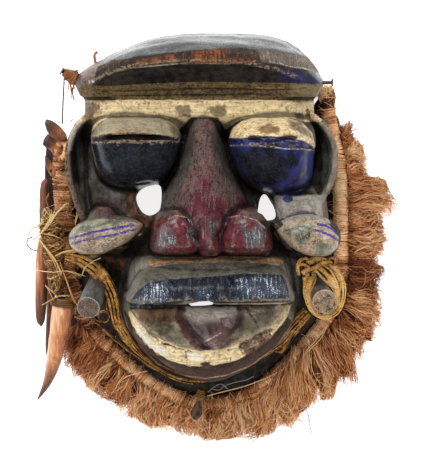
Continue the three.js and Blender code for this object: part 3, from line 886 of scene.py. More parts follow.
COATS = (
    Coat(
        "muzzle_green", "797467", "413e37",
        areas="""
            124,258 150,256 205,258 275,257 293,258 299,285 295,315 287,335 272,352 250,367 225,379 200,384
            175,380 150,367 133,347 121,322 119,288
        """,
        rough=0.42, gloss=0.21, soft=3.0, ragged=4.0, marks=Brushed.LEVEL, fleck="8a8d84", flecked=0.35,
    ),
    Coat(
        "muzzle_pale", "979286", "5e5b52",
        areas="""
            124,264 138,259 150,264 140,280 128,300 121,292;
            285,259 295,262 299,285 296,304 288,290 283,270
        """,
        rough=0.42, gloss=0.21, soft=8.0, ragged=8.0, marks=Brushed.UPRIGHT, fleck="a4a59c", flecked=0.4,
    ),
    Coat(
        "socket_grey", "746d64", "423e39",
        areas="73,185 92,178 100,182 113,190 128,193 134,215 145,224 100,224 85,220 76,205",
        rough=0.42, gloss=0.21, soft=3.0, ragged=4.0, fleck="84827a", flecked=0.4,
    ),
    Coat(
        "dusty_maroon", "725852", "332525",
        areas="""
            190,116 217,116 223,140 229,160 241,185 257,208 266,220 150,226 163,205 174,182 182,155 187,135;
            95,199 112,197 128,200 133,213 118,218 96,216;
            175,306 240,305 243,320 233,335 222,346 205,352 192,347 182,335 174,318;
            66,150 70,150 72,175 80,205 86,222 78,222 70,195
        """,
        rough=0.5, soft=3.0, ragged=4.0, marks=Brushed.UPRIGHT, fleck="857a74", flecked=0.5,
    ),
    Coat(
        "slate", "b1aba0", "756e67",
        areas="""
            273,194 290,196 326,194 331,205 330,224 315,220 298,222 284,226 278,216;
            69,132 76,120 86,114 93,116 86,123 77,131 72,150 68,152
        """,
        rough=0.4, gloss=0.26, soft=2.0, ragged=3.0, marks=Brushed.LEVEL, fleck="b1aca0", flecked=0.4,
    ),
    Coat(
        "bare_brown", "76503a", "3a2719",
        areas="""
            126,188 137,187 134,200 137,212 148,217 161,213 168,222 150,230 138,224 128,214 125,200;
            103,255 122,252 128,262 124,272 112,268
        """,
        rough=0.6, gloss=0.11, soft=2.5, ragged=4.0,
    ),
    # grey-green paint on the nose's flanks, darkened as painted shade between the nose and the eyes
    Coat(
        "nose_flank", "54504a", "2a2624",
        areas="""
            188,118 195,119 194,140 193,158 186,176 175,194 165,209 160,200 170,184 180,158 187,136;
            212,119 218,118 221,136 230,152 240,170 252,194 256,209 240,194 224,176 214,156 212,138
        """,
        rough=0.5, soft=6.0, ragged=7.0, marks=Brushed.UPRIGHT, fleck="8a8b80", flecked=0.4,
    ),
    Coat(
        "moustache_brown", "dca978", "7b5539",
        lines="5.2: 151,263 168,260.6 205,259 240,258 262,259.4 281,262",
        rough=0.5, gloss=0.11, soft=1.6, ragged=3.0, marks=Brushed.LEVEL, fleck="3d2a1d", flecked=0.45,
    ),
    Coat(
        "dish_olive", "ceb79a", "897661",
        areas="""
            132,310 187,305 290,303 285,313 272,326 255,338 238,346 215,351 190,349 170,343 150,332 139,321
        """,
        rough=0.34, gloss=0.21, soft=1.5, ragged=2.0, lowest=0.06, marks=Brushed.LEVEL, fleck="a39c8c",
        flecked=0.4,
    ),
    Coat(
        "dish_green", "968c77", "625b4d",
        areas="""
            146,318 160,320 176,328 188,340 196,349 178,345 158,335 146,326;
            236,318 262,312 278,310 270,324 252,336 236,338
        """,
        rough=0.34, gloss=0.26, soft=5.0, ragged=5.0, lowest=0.06,
    ),
    Coat(
        "dish_brown", "96755c", "5b402f",
        areas="133,309 155,308 178,307 184,314 172,322 158,320 146,322 138,318",
        rough=0.4, gloss=0.11, soft=4.0, ragged=5.0, lowest=0.06, fleck="8f6d4e", flecked=0.5,
    ),
    Coat(
        "tongue_maroon", "6b4e4a", "3c2727",
        areas="176,307 240,306 243,320 233,335 222,346 205,352 192,347 182,335 175,318",
        rough=0.34, gloss=0.21, soft=4.0, ragged=5.0, lowest=0.06, fleck="8f7f76", flecked=0.35,
    ),
    Coat(
        "dish_beige", "e2d8cc", "a3988b",
        areas="186,305 236,304 240,312 224,321 196,322 184,314",
        rough=0.4, gloss=0.11, soft=9.0, ragged=8.0, lowest=0.06, marks=Brushed.LEVEL, fleck="a59b8c",
        flecked=0.4,
    ),
    Coat(
        "bridge_red", "642934", "37181c",
        areas="""
            200,175 208,175 214,192 228,204 240,214 222,216 204,214 188,218 180,212 192,200 197,188;
            236,196 244,197 252,207 246,211 238,205
        """,
        rough=0.5, soft=9.0, ragged=11.0, marks=Brushed.UPRIGHT, fleck="8d7972", flecked=0.5,
    ),
    Coat(
        "crimson", "742a36", "2d1219",
        areas="""
            151,238 158,222 170,214 185,216 197,222 203,214 210,216 222,213 244,214 258,221 269,232 275,250
            268,256 205,256 165,256 151,252;
            220,318 229,317 231,327 222,328
        """,
        rough=0.28, gloss=0.56, soft=3.0, ragged=5.0, worn=0.12, marks=Brushed.UPRIGHT, fleck="8d7f7a",
        flecked=0.25,
    ),
    # painted highlights: pale grey glints on the nostrils and beside the septum
    Coat(
        "wing_glaze", "646163", "342c30",
        areas="""
            157,231 166,228 174,236 173,247 160,248 155,242;
            245,231 256,228 264,236 263,247 250,248 244,240;
            191,224 197,232 198,245 191,240;
            211,224 219,223 215,236 209,245
        """,
        rough=0.24, gloss=0.61, soft=8.0, ragged=13.0, marks=Brushed.UPRIGHT, fleck="b9bcbe", flecked=0.75,
    ),
    Coat(
        "visor_grey", "3a3c3e", "222324",
        areas="""
            60,20 340,20 332,90 318,84 305,68 285,60 250,55 205,55 160,57 130,62 108,72 92,84 80,98 60,98
        """,
        rough=0.34, gloss=0.46, soft=2.5, ragged=4.0, marks=Brushed.LEVEL, fleck="7f8487", flecked=0.3,
    ),
    # painted sheen: pale streaks along the visor's top, standing in for the light its gloss reflects
    Coat(
        "visor_sheen", "656a6b", "414547",
        areas="""
            112,58 122,49 150,43 170,40 150,47 128,53 116,58;
            180,41 205,37 250,38 290,47 302,54 270,47 235,44 205,45
        """,
        rough=0.3, gloss=0.51, soft=5.0, ragged=6.0, marks=Brushed.LEVEL, fleck="b9bdbe", flecked=0.3,
    ),
    Coat(
        "visor_mauve", "7f736d", "4d3f3a",
        areas="66,70 90,58 104,62 108,72 92,84 90,92 80,99 66,99",
        rough=0.42, gloss=0.11, soft=5.0, ragged=6.0, marks=Brushed.UPRIGHT, fleck="7b4c39", flecked=0.6,
    ),
    Coat(
        "band_dark", "3a302a", "1a1513",
        areas="""
            94,78 98,66 115,60 140,57 165,53 195,51 205,49.5 240,48 262,51 285,52 305,56 318,65 324,75
            315,71 303,68 290,66.5 280,63.5 265,62 235,63 225,64 195,63.5 175,64.5 150,66.5 130,67.5
            118,70.5 108,74
        """,
        rough=0.6, soft=1.4, ragged=2.4, marks=Brushed.UPRIGHT, fleck="7a5a3c", flecked=0.5,
    ),
    Coat(
        "band_grey", "71675f", "473e37",
        areas="258,50 285,52 305,56 318,65 323,74 303,68 290,66.5 280,63.5 262,62",
        rough=0.6, soft=4.0, ragged=4.0, marks=Brushed.UPRIGHT, fleck="9c8b7b", flecked=0.6,
    ),
    Coat(
        "band_orange", "7d4c2c", "38221a",
        areas="""
            136,60 147,58 148,66 138,66;
            149,58 161,56 161,65 150,66;
            165,55 177,54 176,63.5 166,64.5;
            192,51 202,50 216,49.5 227,50 226,63 193,63;
            227,58 240,58 258,58 258,61.5 240,62 228,63;
            316,63 321,66 322,72 318,70
        """,
        rough=0.6, soft=3.0, ragged=6.5, worn=0.1, marks=Brushed.UPRIGHT, fleck="231a17", flecked=0.7,
    ),
    Coat(
        "olive_strip", "7f6947", "2b2116",
        areas="""
            76,98 75,90 85,85 110,86 150,83 200,81.5 250,82 300,83 320,83 325,90 318,97 280,100.5 220,100.5
            150,101.5 100,101.5 84,100
        """,
        rough=0.6, soft=1.2, ragged=2.0, marks=Brushed.LEVEL, fleck="8d7b5b", flecked=0.5,
    ),
    Coat(
        "olive_end", "8a7d5c", "5c5038",
        areas="292,84 318,83 326,88 318,98 300,100 288,98",
        rough=0.5, gloss=0.11, soft=6.0, ragged=5.0, marks=Brushed.LEVEL, fleck="a3977a", flecked=0.4,
    ),
    Coat(
        "chin_brown", "442e22", "1e120d",
        areas="""
            124,310 134,322 145,336 158,349 172,358 190,363 210,363 233,358 252,347 270,333 286,314 292,322
            272,352 250,367 225,379 200,384 175,380 150,367 133,347
        """,
        rough=0.7, soft=1.2, ragged=1.6, marks=Brushed.LEVEL, fleck="5f4a3b", flecked=0.4,
    ),
    Coat(
        "cream", "eed7a8", "c2ac82",
        areas="""
            78,100 320,100 323,122 306,122 292,118 250,118 236,122 226,130 218,117.5 191,117 180,130 170,119
            150,117 110,117 98,124 90,134 86,122 76,124;
            128,312 132,325 142,339 155,352 170,361 190,366 210,366 235,361 246,356 240,343 225,349 200,351
            180,347 165,341 150,333 140,323 131,311;
            292,304 286,320 272,336 266,330 275,321 287,306;
            229,138 233,128 241,121 250,117 285,117 300,121 312,132 317,150 311,145 300,140 285,137 265,136
            245,138
        """,
        rough=0.55, gloss=0.11, soft=0.8, ragged=2.6, worn=0.08, lowest=0.03, marks=Brushed.LEVEL,
        fleck="8a7150", flecked=0.35,
    ),
    Coat(
        "cream_stain", "8f7c60", "6b5a44",
        areas="""
            175,106 190,105 192,112 190,118 182,116 176,113;
            209,106 226,105 228,116 218,118 211,115;
            296,113 303,112 304,120 300,125 296,120;
            306,110 311,110 310,117 307,117;
            78,103 96,102 100,108 92,118 80,118
        """,
        rough=0.6, gloss=0.11, soft=3.0, ragged=4.5, fleck="5b4a38", flecked=0.5,
    ),
    Coat(
        "lid_olive", "ada187", "7b725d",
        areas="""
            91,137 97,127 105,119 113,115.5 160,115.5 170,120 178,128 183,139 165,135 150,133.5 125,132
            105,134
        """,
        rough=0.46, gloss=0.21, soft=0.8, ragged=1.5, marks=Brushed.LEVEL, fleck="cfc2a2", flecked=0.35,
    ),
    Coat(
        "lid_rust", "9a7a57", "7c6347",
        areas="256,129 268,124 281,128 276,134 262,134",
        lines="2.2: 116,133 128,130.6 142,130 151,132",
        rough=0.5, gloss=0.11, soft=3.5, ragged=5.0, fleck="54402c", flecked=0.4,
    ),
    Coat(
        "lid_stain", "81755a", "5c5140",
        areas="""
            92,136 96,128 102,122 104,130 100,135;
            168,120 177,127 182,138 174,136 168,128;
            286,119 300,122 310,131 314,140 304,136 292,128
        """,
        rough=0.5, gloss=0.11, soft=5.0, ragged=5.0, fleck="b3a27c", flecked=0.4,
    ),
    Coat(
        "horn_tan", "bda487", "564a40",
        areas="""
            68,232 78,223 95,219 115,219.5 130,222 142,223 145,228 142,234 130,242 115,248 95,258 80,258
            72,252 67,240;
            273,233 283,225 298,219 315,218 330,225 339,238 338,247 328,256 313,258 298,254 285,247
        """,
        rough=0.34, gloss=0.56, soft=1.2, ragged=2.0, marks=Brushed.LEVEL, fleck="e3d3bd", flecked=0.6,
    ),
    Coat(
        "horn_green", "8f9078", "464a3e",
        areas="""
            68,234 78,223 95,219 125,220 120,226 100,229 82,233 70,240;
            284,228 300,222 313,224 312,238 300,243 288,238;
            316,244 335,243 330,254 314,256
        """,
        rough=0.34, gloss=0.56, soft=3.0, ragged=5.0, worn=0.1, fleck="bdb9a6", flecked=0.5,
    ),
    # near-black paint and painted shade: under the visor, in the left eye slit, under the chin and along the
    # slit under the lip
    Coat(
        "underside_black", "38322e", "131213",
        areas="""
            92,85 100,78 115,71 145,67 185,65 215,63.5 250,64 280,67 305,75 317,84 300,83 270,82.5 240,82
            200,81.5 150,83.5 110,86;
            92,139.5 110,135.6 130,134.6 150,135 170,137.2 183,141 165,140.4 150,139.4 120,139.6 95,141.5;
            200,384 225,380 255,368 275,354 290,342 300,350 275,380 240,396 205,399 170,392 140,372 120,345
            112,320 121,322 133,348 150,368 175,381
        """,
        lines="2.4: 131,308 150,308.5 170,308 187,305 222,302.5 291,301",
        rough=0.8, soft=1.5, ragged=1.6, fleck="3b312a", flecked=0.3,
    ),
    Coat(
        "underside_blue", "313157", "181830",
        areas="276,70 300,72 318,80 320,84 300,83 282,80",
        rough=0.7, soft=6.0, ragged=7.0, marks=Brushed.LEVEL, fleck="5a5a86", flecked=0.2,
    ),
    Coat(
        "wing_dark", "afab9b", "625f56",
        areas="""
            90,130 92,140 94,160 97,178 90,186 83,184 79,165 78,148 80,136 85,128;
            313,128 322,123 331,133 336,150 336,172 331,190 322,196 311,190 312,178 316,160 318,148 315,138
        """,
        rough=0.8, soft=8.0, ragged=5.0, fleck="45443d", flecked=0.3,
    ),
    Coat(
        "wing_olive", "787465", "4c4b41",
        areas="314,124 325,124 335,138 336,150 327,153 318,140; 78,130 87,120 92,128 84,142 79,152",
        rough=0.5, soft=9.0, ragged=6.0, fleck="6c6a5c", flecked=0.3,
    ),
    Coat(
        "navy_black", "1f232b", "0b0c10",
        areas="""
            91,143 120,143 150,141 183,141 183,150 178,165 168,180 155,189 140,192 124,191 112,186 103,176
            96,160
        """,
        rough=0.3, gloss=0.41, soft=0.9, ragged=1.4, fleck="4a4f57", flecked=0.35,
    ),
    Coat(
        "ultramarine", "2a3071", "11131f",
        areas="""
            229,144 250,145 285,146 317,151 315,170 309,188 300,196 285,197 262,190 245,177 233,160;
            229,139 245,138.5 268,137 290,138 305,141 316,149 300,146 280,144.5 250,144 232,143;
            283,197 292,196 293,201 287,203 282,200
        """,
        rough=0.34, gloss=0.31, soft=0.8, ragged=1.6, fleck="4c4f74", flecked=0.3,
    ),
    # a darker patch on the right eye, below its lid
    Coat(
        "eye_soot", "20222b", "0f1014",
        areas="231,147 262,148 290,152 296,165 284,182 262,186 246,176 236,164",
        rough=0.3, gloss=0.36, soft=11.0, ragged=12.0, fleck="3b3f55", flecked=0.4,
    ),
    Coat(
        "stripe_blue", "463f9c", "312e6c",
        lines="""
            2.4: 70,238.5 88,233.3 104,230.2 120,227.3 135,224.8;
            2.4: 72,243.5 86,240 104,236.6 122,233 138,228.8;
            2.6: 318,224.5 325,225.5 332,229 337,234;
            2.8: 315,230 324,232.5 332,236.5 338,240;
            2: 284,199 291,198.5
        """,
        rough=0.5, gloss=0.11, soft=0.9, ragged=1.9, worn=0.12, marks=Brushed.LEVEL, fleck="8d8aa8",
        flecked=0.4,
    ),
    Coat(
        "lip_navy", "282c36", "0f1116",
        areas="""
            132,306 131,299 138,290 148,283 165,279.5 200,277.5 245,273.5 281,274.5 286,280 290,298.5
            220,301.5 187,301.5 165,307 140,308
        """,
        rough=0.38, gloss=0.15, soft=1.0, ragged=1.4, marks=Brushed.UPRIGHT, fleck="8a95a3", flecked=0.25,
    ),
    # painted highlights: pale upright streaks at both ends and in the middle of the lip
    Coat(
        "lip_sheen", "434c5c", "1f2631",
        areas="""
            134,304 138,293 150,285 167,281 170,300 150,306;
            236,279 262,276 283,279 287,297 240,298;
            196,290 206,286 212,299 198,300
        """,
        rough=0.34, gloss=0.26, soft=7.0, ragged=16.0, marks=Brushed.UPRIGHT, fleck="c3ccd6", flecked=0.95,
    ),
    Coat(
        "crescent_chips", "54402f", "2b1f19",
        areas="""
            150,357 158,359 168,363 176,368 168,369 156,364;
            133,326 138,336 146,345 140,344 133,334;
            200,363 206,361 214,366 206,369
        """,
        lines="""
            1.2: 146,331 160,341 176,348 192,352;
            0.9: 197,352 197,362;
            0.8: 186,351 187,364;
            0.8: 228,350 231,360
        """,
        rough=0.4, gloss=0.11, soft=2.0, ragged=4.5,
    ),
    Coat(
        "crescent_white", "eee8d6", "ccc4af",
        areas="""
            133,318 140,328 152,341 166,351 170,356 160,354 146,343 136,330;
            188,353 202,354 203,362 190,362
        """,
        rough=0.45, gloss=0.21, soft=3.0, ragged=8.0, marks=Brushed.LEVEL, fleck="a08e70", flecked=0.4,
    ),
    Coat(
        "chipped_maroon", "7a5a4c", "3a2826",
        areas="238,344 250,337 264,329 274,328 270,338 257,350 243,357 240,352",
        rough=0.34, gloss=0.36, soft=2.5, ragged=8.0, worn=0.22, fleck="d9c6a0", flecked=0.7,
    ),
    Coat(
        "worn_tan", "c39a74", "825a3e",
        areas="134,223 142,223 145,228 141,235 134,238 137,231",
        lines="""
            1.3: 112,133.4 125,132.2 140,131.8 152,132.6;
            1.6: 126,142.2 142,143.2;
            1.1: 139,345 158,364 183,375.5 205,378.5 226,375.5 250,366 272,350;
            1.2: 84,246 108,241.5 128,237 140,232;
            1.2: 280,239 292,248 305,254.5 320,256.5;
            1.4: 82,100 79,110 78,120;
            1.6: 284,88 268,88 256,87.4;
            1.4: 180,63.4 205,63.2 228,63.6 245,61.8 256,61
        """,
        rough=0.5, gloss=0.11, soft=1.0, ragged=2.4, worn=0.2, marks=Brushed.LEVEL, fleck="5b3f2b",
        flecked=0.5,
    ),
    # pale worn lines, and painted glints along the lids, rims, nostrils and the visor's edge
    Coat(
        "pale_line", "d8d0c0", "a0978a",
        areas="88,80 95,80.5 94,84 89,84",
        lines="""
            1.3: 108,74.5 118,70.4 128,68 145,66.6 165,64.8 178,63.6;
            1.2: 270,61.8 280,63.6 290,66.6 303,68 314,71;
            1.6: 230,145.5 250,145.5 270,146.5 285,148.8 303,149 316,151;
            1.5: 92,143 104,142 120,141.6 138,142 155,141.2 168,141 181,142;
            1.4: 145,132.6 158,133.6 170,136 180,139.4;
            1.6: 300,136.5 309,142 315.5,150;
            1.3: 321,123 331,130.5 336,143 337.4,160 335.5,175 332,188;
            1: 72,241 104,233.5 137,226.8;
            1: 70,235.8 90,230.6 118,225;
            1: 317,227.3 330,231.5 338,237.5;
            1.2: 168,219 176,215.4 188,217.4;
            1.2: 226,218 240,215.2 256,220 266,229;
            1.5: 204,342 212,338 221,333;
            1: 208,344.5 217,340;
            1: 153,266.5 170,263.8 205,262.4 240,261.4 262,262.6 279,265;
            1: 292,196 303,198 314,197.6 326,194
        """,
        rough=0.42, gloss=0.21, soft=0.9, ragged=2.2, worn=0.24, fleck="6f675c", flecked=0.4,
    ),
    Coat(
        "dark_crack", "1d1614", "0d0a0a",
        lines="""
            0.9: 203.5,150 203.8,170 203.4,190 204,208 204,250;
            0.8: 313,221 316,231 315,242 309,251;
            0.8: 283,232 298,226 310,229 309,237 298,240;
            0.7: 245,306 256,322 262,338;
            0.8: 181,222 187,232 197,239;
            0.8: 227,221 221,232 211,239
        """,
        rough=0.5, gloss=0.11, soft=0.8, ragged=1.6, worn=0.16,
    ),
)
COAT_BY_NAME = {coat.name: coat for coat in COATS}
# Where the solid's edges are rounded off: the ridge of the nose, and the tongue
ROUNDED = outlines_of(
    "194,126 213,126 217,212 190,212; 172,309 245,309 243,336 222,348 190,348 172,336"
)
# Where no edge is rubbed pale: the ridge of the nose, a lid's end and the lip
UNRUBBED = outlines_of(
    "203.5,118 203.8,150 204,205 204,256; 88,170 88.7,209; 145,290 200,287.5 280,285"
)

# Each crease, crack or groove: its width in the picture, its depth in millimetres and its way
CREASES = """
    1.3 0.9: 203,205 203.5,225 204,240;
    1.5 0.7: 180,222 186,232 196,238;
    1.5 0.7: 228,220 222,232 212,238;
    1.4 0.9: 313,221 316,231 315,242 309,251;
    1.2 0.6: 283,232 298,226 310,229 309,237 298,240;
    1.2 0.7: 92,92 140,91 200,88.5 260,90 310,90;
    1 0.6: 110,96 170,95.5 240,94 300,95.5;
    1.3 0.8: 120,183 135,184.5 150,182;
    1.1 0.5: 165,120 176,128 181,137;
    1.2 0.6: 245,306 256,322 262,338;
    1.5 1.5: 93,140.5 110,137.3 130,136.4 150,136.8 170,138.6 182,141;
    1.5 1.4: 231,142 250,141 270,140.6 290,142 305,145 316,149.5
"""


class Neighbours:
    """Which points of a mesh are joined by its edges."""

    def __init__(self, mesh: bpy.types.Mesh) -> None:
        """Reads the edges.

        Args:
            mesh: whose they are.
        """
        ends = np.empty(len(mesh.edges) * 2, np.int32)
        mesh.edges.foreach_get("vertices", ends)
        self.first, self.second = ends.reshape(-1, 2).T
        self.count = np.bincount(ends, minlength=len(mesh.vertices))

    def lean(self, values: np.ndarray) -> np.ndarray:
        """From each point's values, n by k, to the mean of its neighbours'.

        Args:
            values: n by k.

        Returns:
            The differences, n by k.
        """
        total = np.empty_like(values)
        for k in range(values.shape[1]):
            sums = np.bincount(self.first, values[self.second, k], len(values))
            total[:, k] = sums + np.bincount(self.second, values[self.first, k], len(values))
        return total / np.maximum(self.count, 1)[:, None] - values


@dataclass(frozen=True)
class Paintwork:
    """Coats over a dark patina, worn on the ridges, with dirt and painted shade darkening the hollows."""

    rubbed: str = "ab9378"
    dirt_and_shade: str = "120e0c"
    inner: tuple[str, str] = ("5d4330", "39281d")

    def material(self) -> bpy.types.Material:
        """Makes the material.

        Returns:
            The material.
        """
        shader = Shader("painted_wood")
        broad = shader.noise(0.02, 4.0)
        patch = shader.noise(0.006, 5.0, (1, 1.4, 1))
        grit = shader.noise(0.0021, 5.0)
        streak = shader.noise(0.0016, 4.0, (9, 1, 1))
        brushed = shader.noise(0.0018, 4.0, (1, 7, 7))
        speck = shader.noise(0.0009, 3.0)
        ridge = shader.data("ridge")
        sunk = shader.data("sunk")
        worn_through = (grit * 0.5 + patch * 0.5 + ridge * 0.12).step(0.50, 0.60)
        colour = shader.mix(patch.step(0.35, 0.65), "3b332d", "1b1715")
        rough: Value = patch * 0.2 + 0.5
        gloss: Value = 0.0
        ragged = (patch * 0.6 + grit * 0.4) - 0.5
        cloudy = (patch * 0.45 + broad * 0.35 + grit * 0.2).step(0.40, 0.60)
        shares = {
            Brushed.CLOUDY: cloudy,
            Brushed.LEVEL: (streak * 0.55 + grit * 0.45).step(0.40, 0.58) * 0.55 + cloudy * 0.45,
            Brushed.UPRIGHT: (brushed * 0.6 + grit * 0.4).step(0.42, 0.58) * 0.6 + cloudy * 0.4,
        }
        flecks = {
            Brushed.CLOUDY: (grit * 0.7 + speck * 0.3).step(0.53, 0.60),
            Brushed.LEVEL: (streak * 0.6 + speck * 0.4).step(0.53, 0.60),
            Brushed.UPRIGHT: (brushed * 0.6 + speck * 0.4).step(0.53, 0.60),
        }
        for coat in COATS:
            edge = (shader.data(coat.name) + ragged * (coat.ragged * 2)).step(-coat.soft / 2, coat.soft / 2)
            if coat.worn:
                edge = edge * (1 - (worn_through * 0.5 + grit * 0.5).step(1 - coat.worn * 4, 1.0))
            tone = shader.mix(shares[coat.marks], coat.light, coat.dark)
            if coat.flecked:
                tone = shader.mix(flecks[coat.marks] * coat.flecked, tone, coat.fleck)
            colour = shader.mix(edge, colour, tone)
            rough = shader.between(edge, rough, coat.rough)
            gloss = shader.between(edge, gloss, coat.gloss)
        rubbed = ridge.step(0.4, 1.0) * (grit.step(0.42, 0.6) * 0.5)
        colour = shader.mix(rubbed, colour, self.rubbed)
        # dirt and painted shade: the hollows darkened towards near black
        colour = shader.mix(sunk.step(0.1, 0.7) * 0.78, colour, self.dirt_and_shade)
        colour = shader.mix(patch.step(0.60, 0.72) * (speck.step(0.45, 0.6) * 0.4), colour, "231b17")
        inner = shader.mix(brushed.step(0.4, 0.62), *self.inner)
        hidden = shader.data("hidden")
        colour = shader.mix(hidden, colour, inner)
        rough = shader.between(hidden, rough + (grit - 0.5) * 0.4, 0.75)
        gloss = shader.between(hidden, gloss, 0.0)
        height = grit * 0.35 + streak * 0.2 + brushed * 0.2 + patch * 0.25
        return shader.finish(
            Base_Color=colour,
            Roughness=rough,
            Coat_Weight=gloss,
            Coat_Roughness=0.2,
            Specular_IOR_Level=0.08,
            Normal=shader.bump(height, 0.0016, 0.6),
        )


@dataclass
class Carving:
    """The carved wood: one piece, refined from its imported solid, cut with tool marks and painted."""

    voxel: float = 1.62 * MM
    kept_share: float = 0.69
    sharp_angle: float = math.radians(33)
    relax_rounds: int = 46
    reach: float = 5.0 * MM  # how far a carved edge keeps its surroundings crisp
    slit: tuple[float, float] = (207.5, 303.2)  # the middle of the slit in the picture
    slit_blade: Place = (20 * MM, 1.7 * MM, 75 * MM)
    slit_turn: float = 0.08

    def build(self, node: bpy.types.Object) -> None:
        """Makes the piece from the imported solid, and dresses it.

        Args:
            node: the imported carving.
        """
        piece = bpy.data.objects.new("mask_carving", node.data.copy())
        bpy.context.scene.collection.objects.link(piece)
        pick_only(piece)
        bpy.ops.object.mode_set(mode="EDIT")
        bpy.ops.mesh.select_all(action="SELECT")
        bpy.ops.mesh.remove_doubles(threshold=0.00001)
        bpy.ops.object.mode_set(mode="OBJECT")
        self.open_slit(piece)
        edges = self.carved_edges(piece)
        with_modifier(piece, "REMESH", mode="VOXEL", voxel_size=self.voxel, use_smooth_shade=True)
        self.thin_behind(piece)
        self.relax(piece.data, edges)
        self.cut_relief(piece.data)
        self.mark_paintwork(piece.data)
        crease_by_angle(piece)
        settle(piece, Paintwork().material(), "carved_wood", "carved_mask")

    def open_slit(self, piece: bpy.types.Object) -> None:
        """Opens the slit under the lip along the line of sight, where light shows through it.

        Args:
            piece: the carving.
        """
        upper, lower = VIEW.at(*self.slit, 120 * MM), VIEW.at(*self.slit, 30 * MM)
        bpy.ops.mesh.primitive_uv_sphere_add(segments=32, ring_count=16, radius=1.0)
        blade = bpy.context.object
        blade.scale = self.slit_blade
        blade.location = (upper + lower) / 2
        blade.rotation_euler = (math.atan2(-(upper - lower).y, (upper - lower).z), 0, self.slit_turn)
        with_modifier(piece, "BOOLEAN", object=blade, operation="DIFFERENCE", solver="EXACT")
        bpy.data.objects.remove(blade, do_unlink=True)

    def thin_behind(self, piece: bpy.types.Object) -> None:
        """Leaves fewer points on the plain hollow side, and all of them on the front.

        Args:
            piece: the carving.
        """
        behind = np.flatnonzero(normals_of(piece.data)[:, 2] < -0.15)
        group = piece.vertex_groups.new(name="behind")
        group.add(behind.tolist(), 1.0, "REPLACE")
        with_modifier(
            piece, "DECIMATE", ratio=self.kept_share, vertex_group="behind", use_collapse_triangulate=False
        )
        piece.vertex_groups.clear()

    def carved_edges(self, piece: bpy.types.Object) -> KDTree:
        """Points along the solid's sharp edges, in a tree for finding the nearest.

        Args:
            piece: the carving.

        Returns:
            The tree.
        """
        form = bmesh.new()
        form.from_mesh(piece.data)
        found: list[Vector] = []
        for edge in form.edges:
            if len(edge.link_faces) != 2 or edge.calc_face_angle(0.0) < self.sharp_angle:
                continue
            a, b = edge.verts[0].co, edge.verts[1].co
            steps = max(1, int((b - a).length / (2 * MM)))
            found += [a.lerp(b, i / steps) for i in range(steps + 1)]
        form.free()
        spot = VIEW.seen(np.array([tuple(point) for point in found]))
        rounded = np.maximum.reduce([inside(spot, outline) for outline in ROUNDED]) > 0
        found = [point for point, soft in zip(found, rounded) if not soft]
        tree = KDTree(len(found))
        for i, point in enumerate(found):
            tree.insert(point, i)
        tree.balance()
        return tree

    def relax(self, mesh: bpy.types.Mesh, edges: KDTree) -> None:
        """Smooths the solid's flat faces into rounded wood, and leaves carved edges crisp.

        Args:
            mesh: the carving's.
            edges: points along its carved edges.
        """
        points = places_of(mesh)
        away = np.array([edges.find(p)[2] for p in points])
        free = 0.12 + 0.88 * ease(away, 0.4 * self.reach, self.reach)
        around = Neighbours(mesh)
        for i in range(2 * self.relax_rounds):
            pull = 0.55 if i % 2 == 0 else -0.565
            points += (pull * free)[:, None] * around.lean(points)
        spot = VIEW.seen(points)
        soft = np.maximum.reduce([ease(inside(spot, outline), 0, 6) for outline in ROUNDED])
        for _ in range(self.relax_rounds):
            points += (0.5 * soft)[:, None] * around.lean(points)
        move_points(mesh, points)

    def cut_relief(self, mesh: bpy.types.Mesh) -> None:
        """Moves the surface in and out: tool facets, creases, cracks and chips.

        Args:
            mesh: the carving's.
        """
        points = places_of(mesh)
        normals = normals_of(mesh)
        spot = VIEW.seen(points)
        front = ease(normals[:, 2], -0.1, 0.25)
        noise = Lattice(3)
        depth = 0.28 * noise.smooth(points, 0.017) + 0.13 * noise.smooth(points + 1.0, 0.006)
        depth += 0.07 * noise.smooth(points + 2.0, (0.003, 0.009, 0.003))
        top = ease(inside(spot, outlines_of(COAT_BY_NAME["visor_grey"].areas)[0]), -2, 3)
        depth += top * self.facets(noise, points + 3.0, (0.026, 0.011, 0.03), 1.9, 0.5)
        lip = ease(inside(spot, outlines_of(COAT_BY_NAME["lip_navy"].areas)[0]), -1, 2)
        depth += lip * self.facets(noise, points * (1, 0.25, 0.25) + 5.0, (0.0088,) * 3, 2.8, 1.0)
        nose = ease(inside(spot, outlines_of(COAT_BY_NAME["crimson"].areas)[0]), -2, 4)
        depth += nose * self.facets(noise, points + 7.0, (0.012, 0.014, 0.014), 1.2, 0.2)
        rest = 1 - np.maximum.reduce([top, lip, nose])
        depth += rest * self.facets(noise, points + 9.0, (0.016, 0.021, 0.019), 0.8, 0.12)
        for (width, cut), line in strokes_of(CREASES):
            depth -= cut * np.exp(-((to_line(spot, line) / width) ** 2))
        for coat, cut in (("chipped_maroon", 0.8), ("stripe_blue", 0.35)):
            depth -= cut * ease(COAT_BY_NAME[coat].extent(spot), -0.5, 1.0)
        inner = ease(-normals[:, 2], 0.1, 0.5)
        gouge = noise.cells(points + 11.0, (0.016, 0.03, 0.02))[0][:, 0]
        depth = depth * front + inner * 0.9 * (0.3 - np.minimum(gouge**2, 0.6))
        floor = ease(points[:, 2], 0.5 * MM, 4 * MM)
        points += normals * (np.clip(depth, -1.6, 0.9) * floor)[:, None] * MM
        points[:, 2] = np.maximum(points[:, 2], 0.0)
        move_points(mesh, points)

    @staticmethod
    def facets(
        noise: Lattice, points: np.ndarray, grain: Sequence[float], hollow: float, step: float
    ) -> np.ndarray:
        """The marks of a blade, millimetres.

        Args:
            noise: what they are laid out by.
            points: n by 3, metres.
            grain: their size along each axis, metres.
            hollow: how much each one is rounded, millimetres.
            step: how much neighbours differ in depth, millimetres.

        Returns:
            The height at each point.
        """
        near, mark = noise.cells(points, grain)
        return hollow * (0.25 - np.minimum(near[:, 0] ** 2, 0.6)) + step * (mark - 0.5)

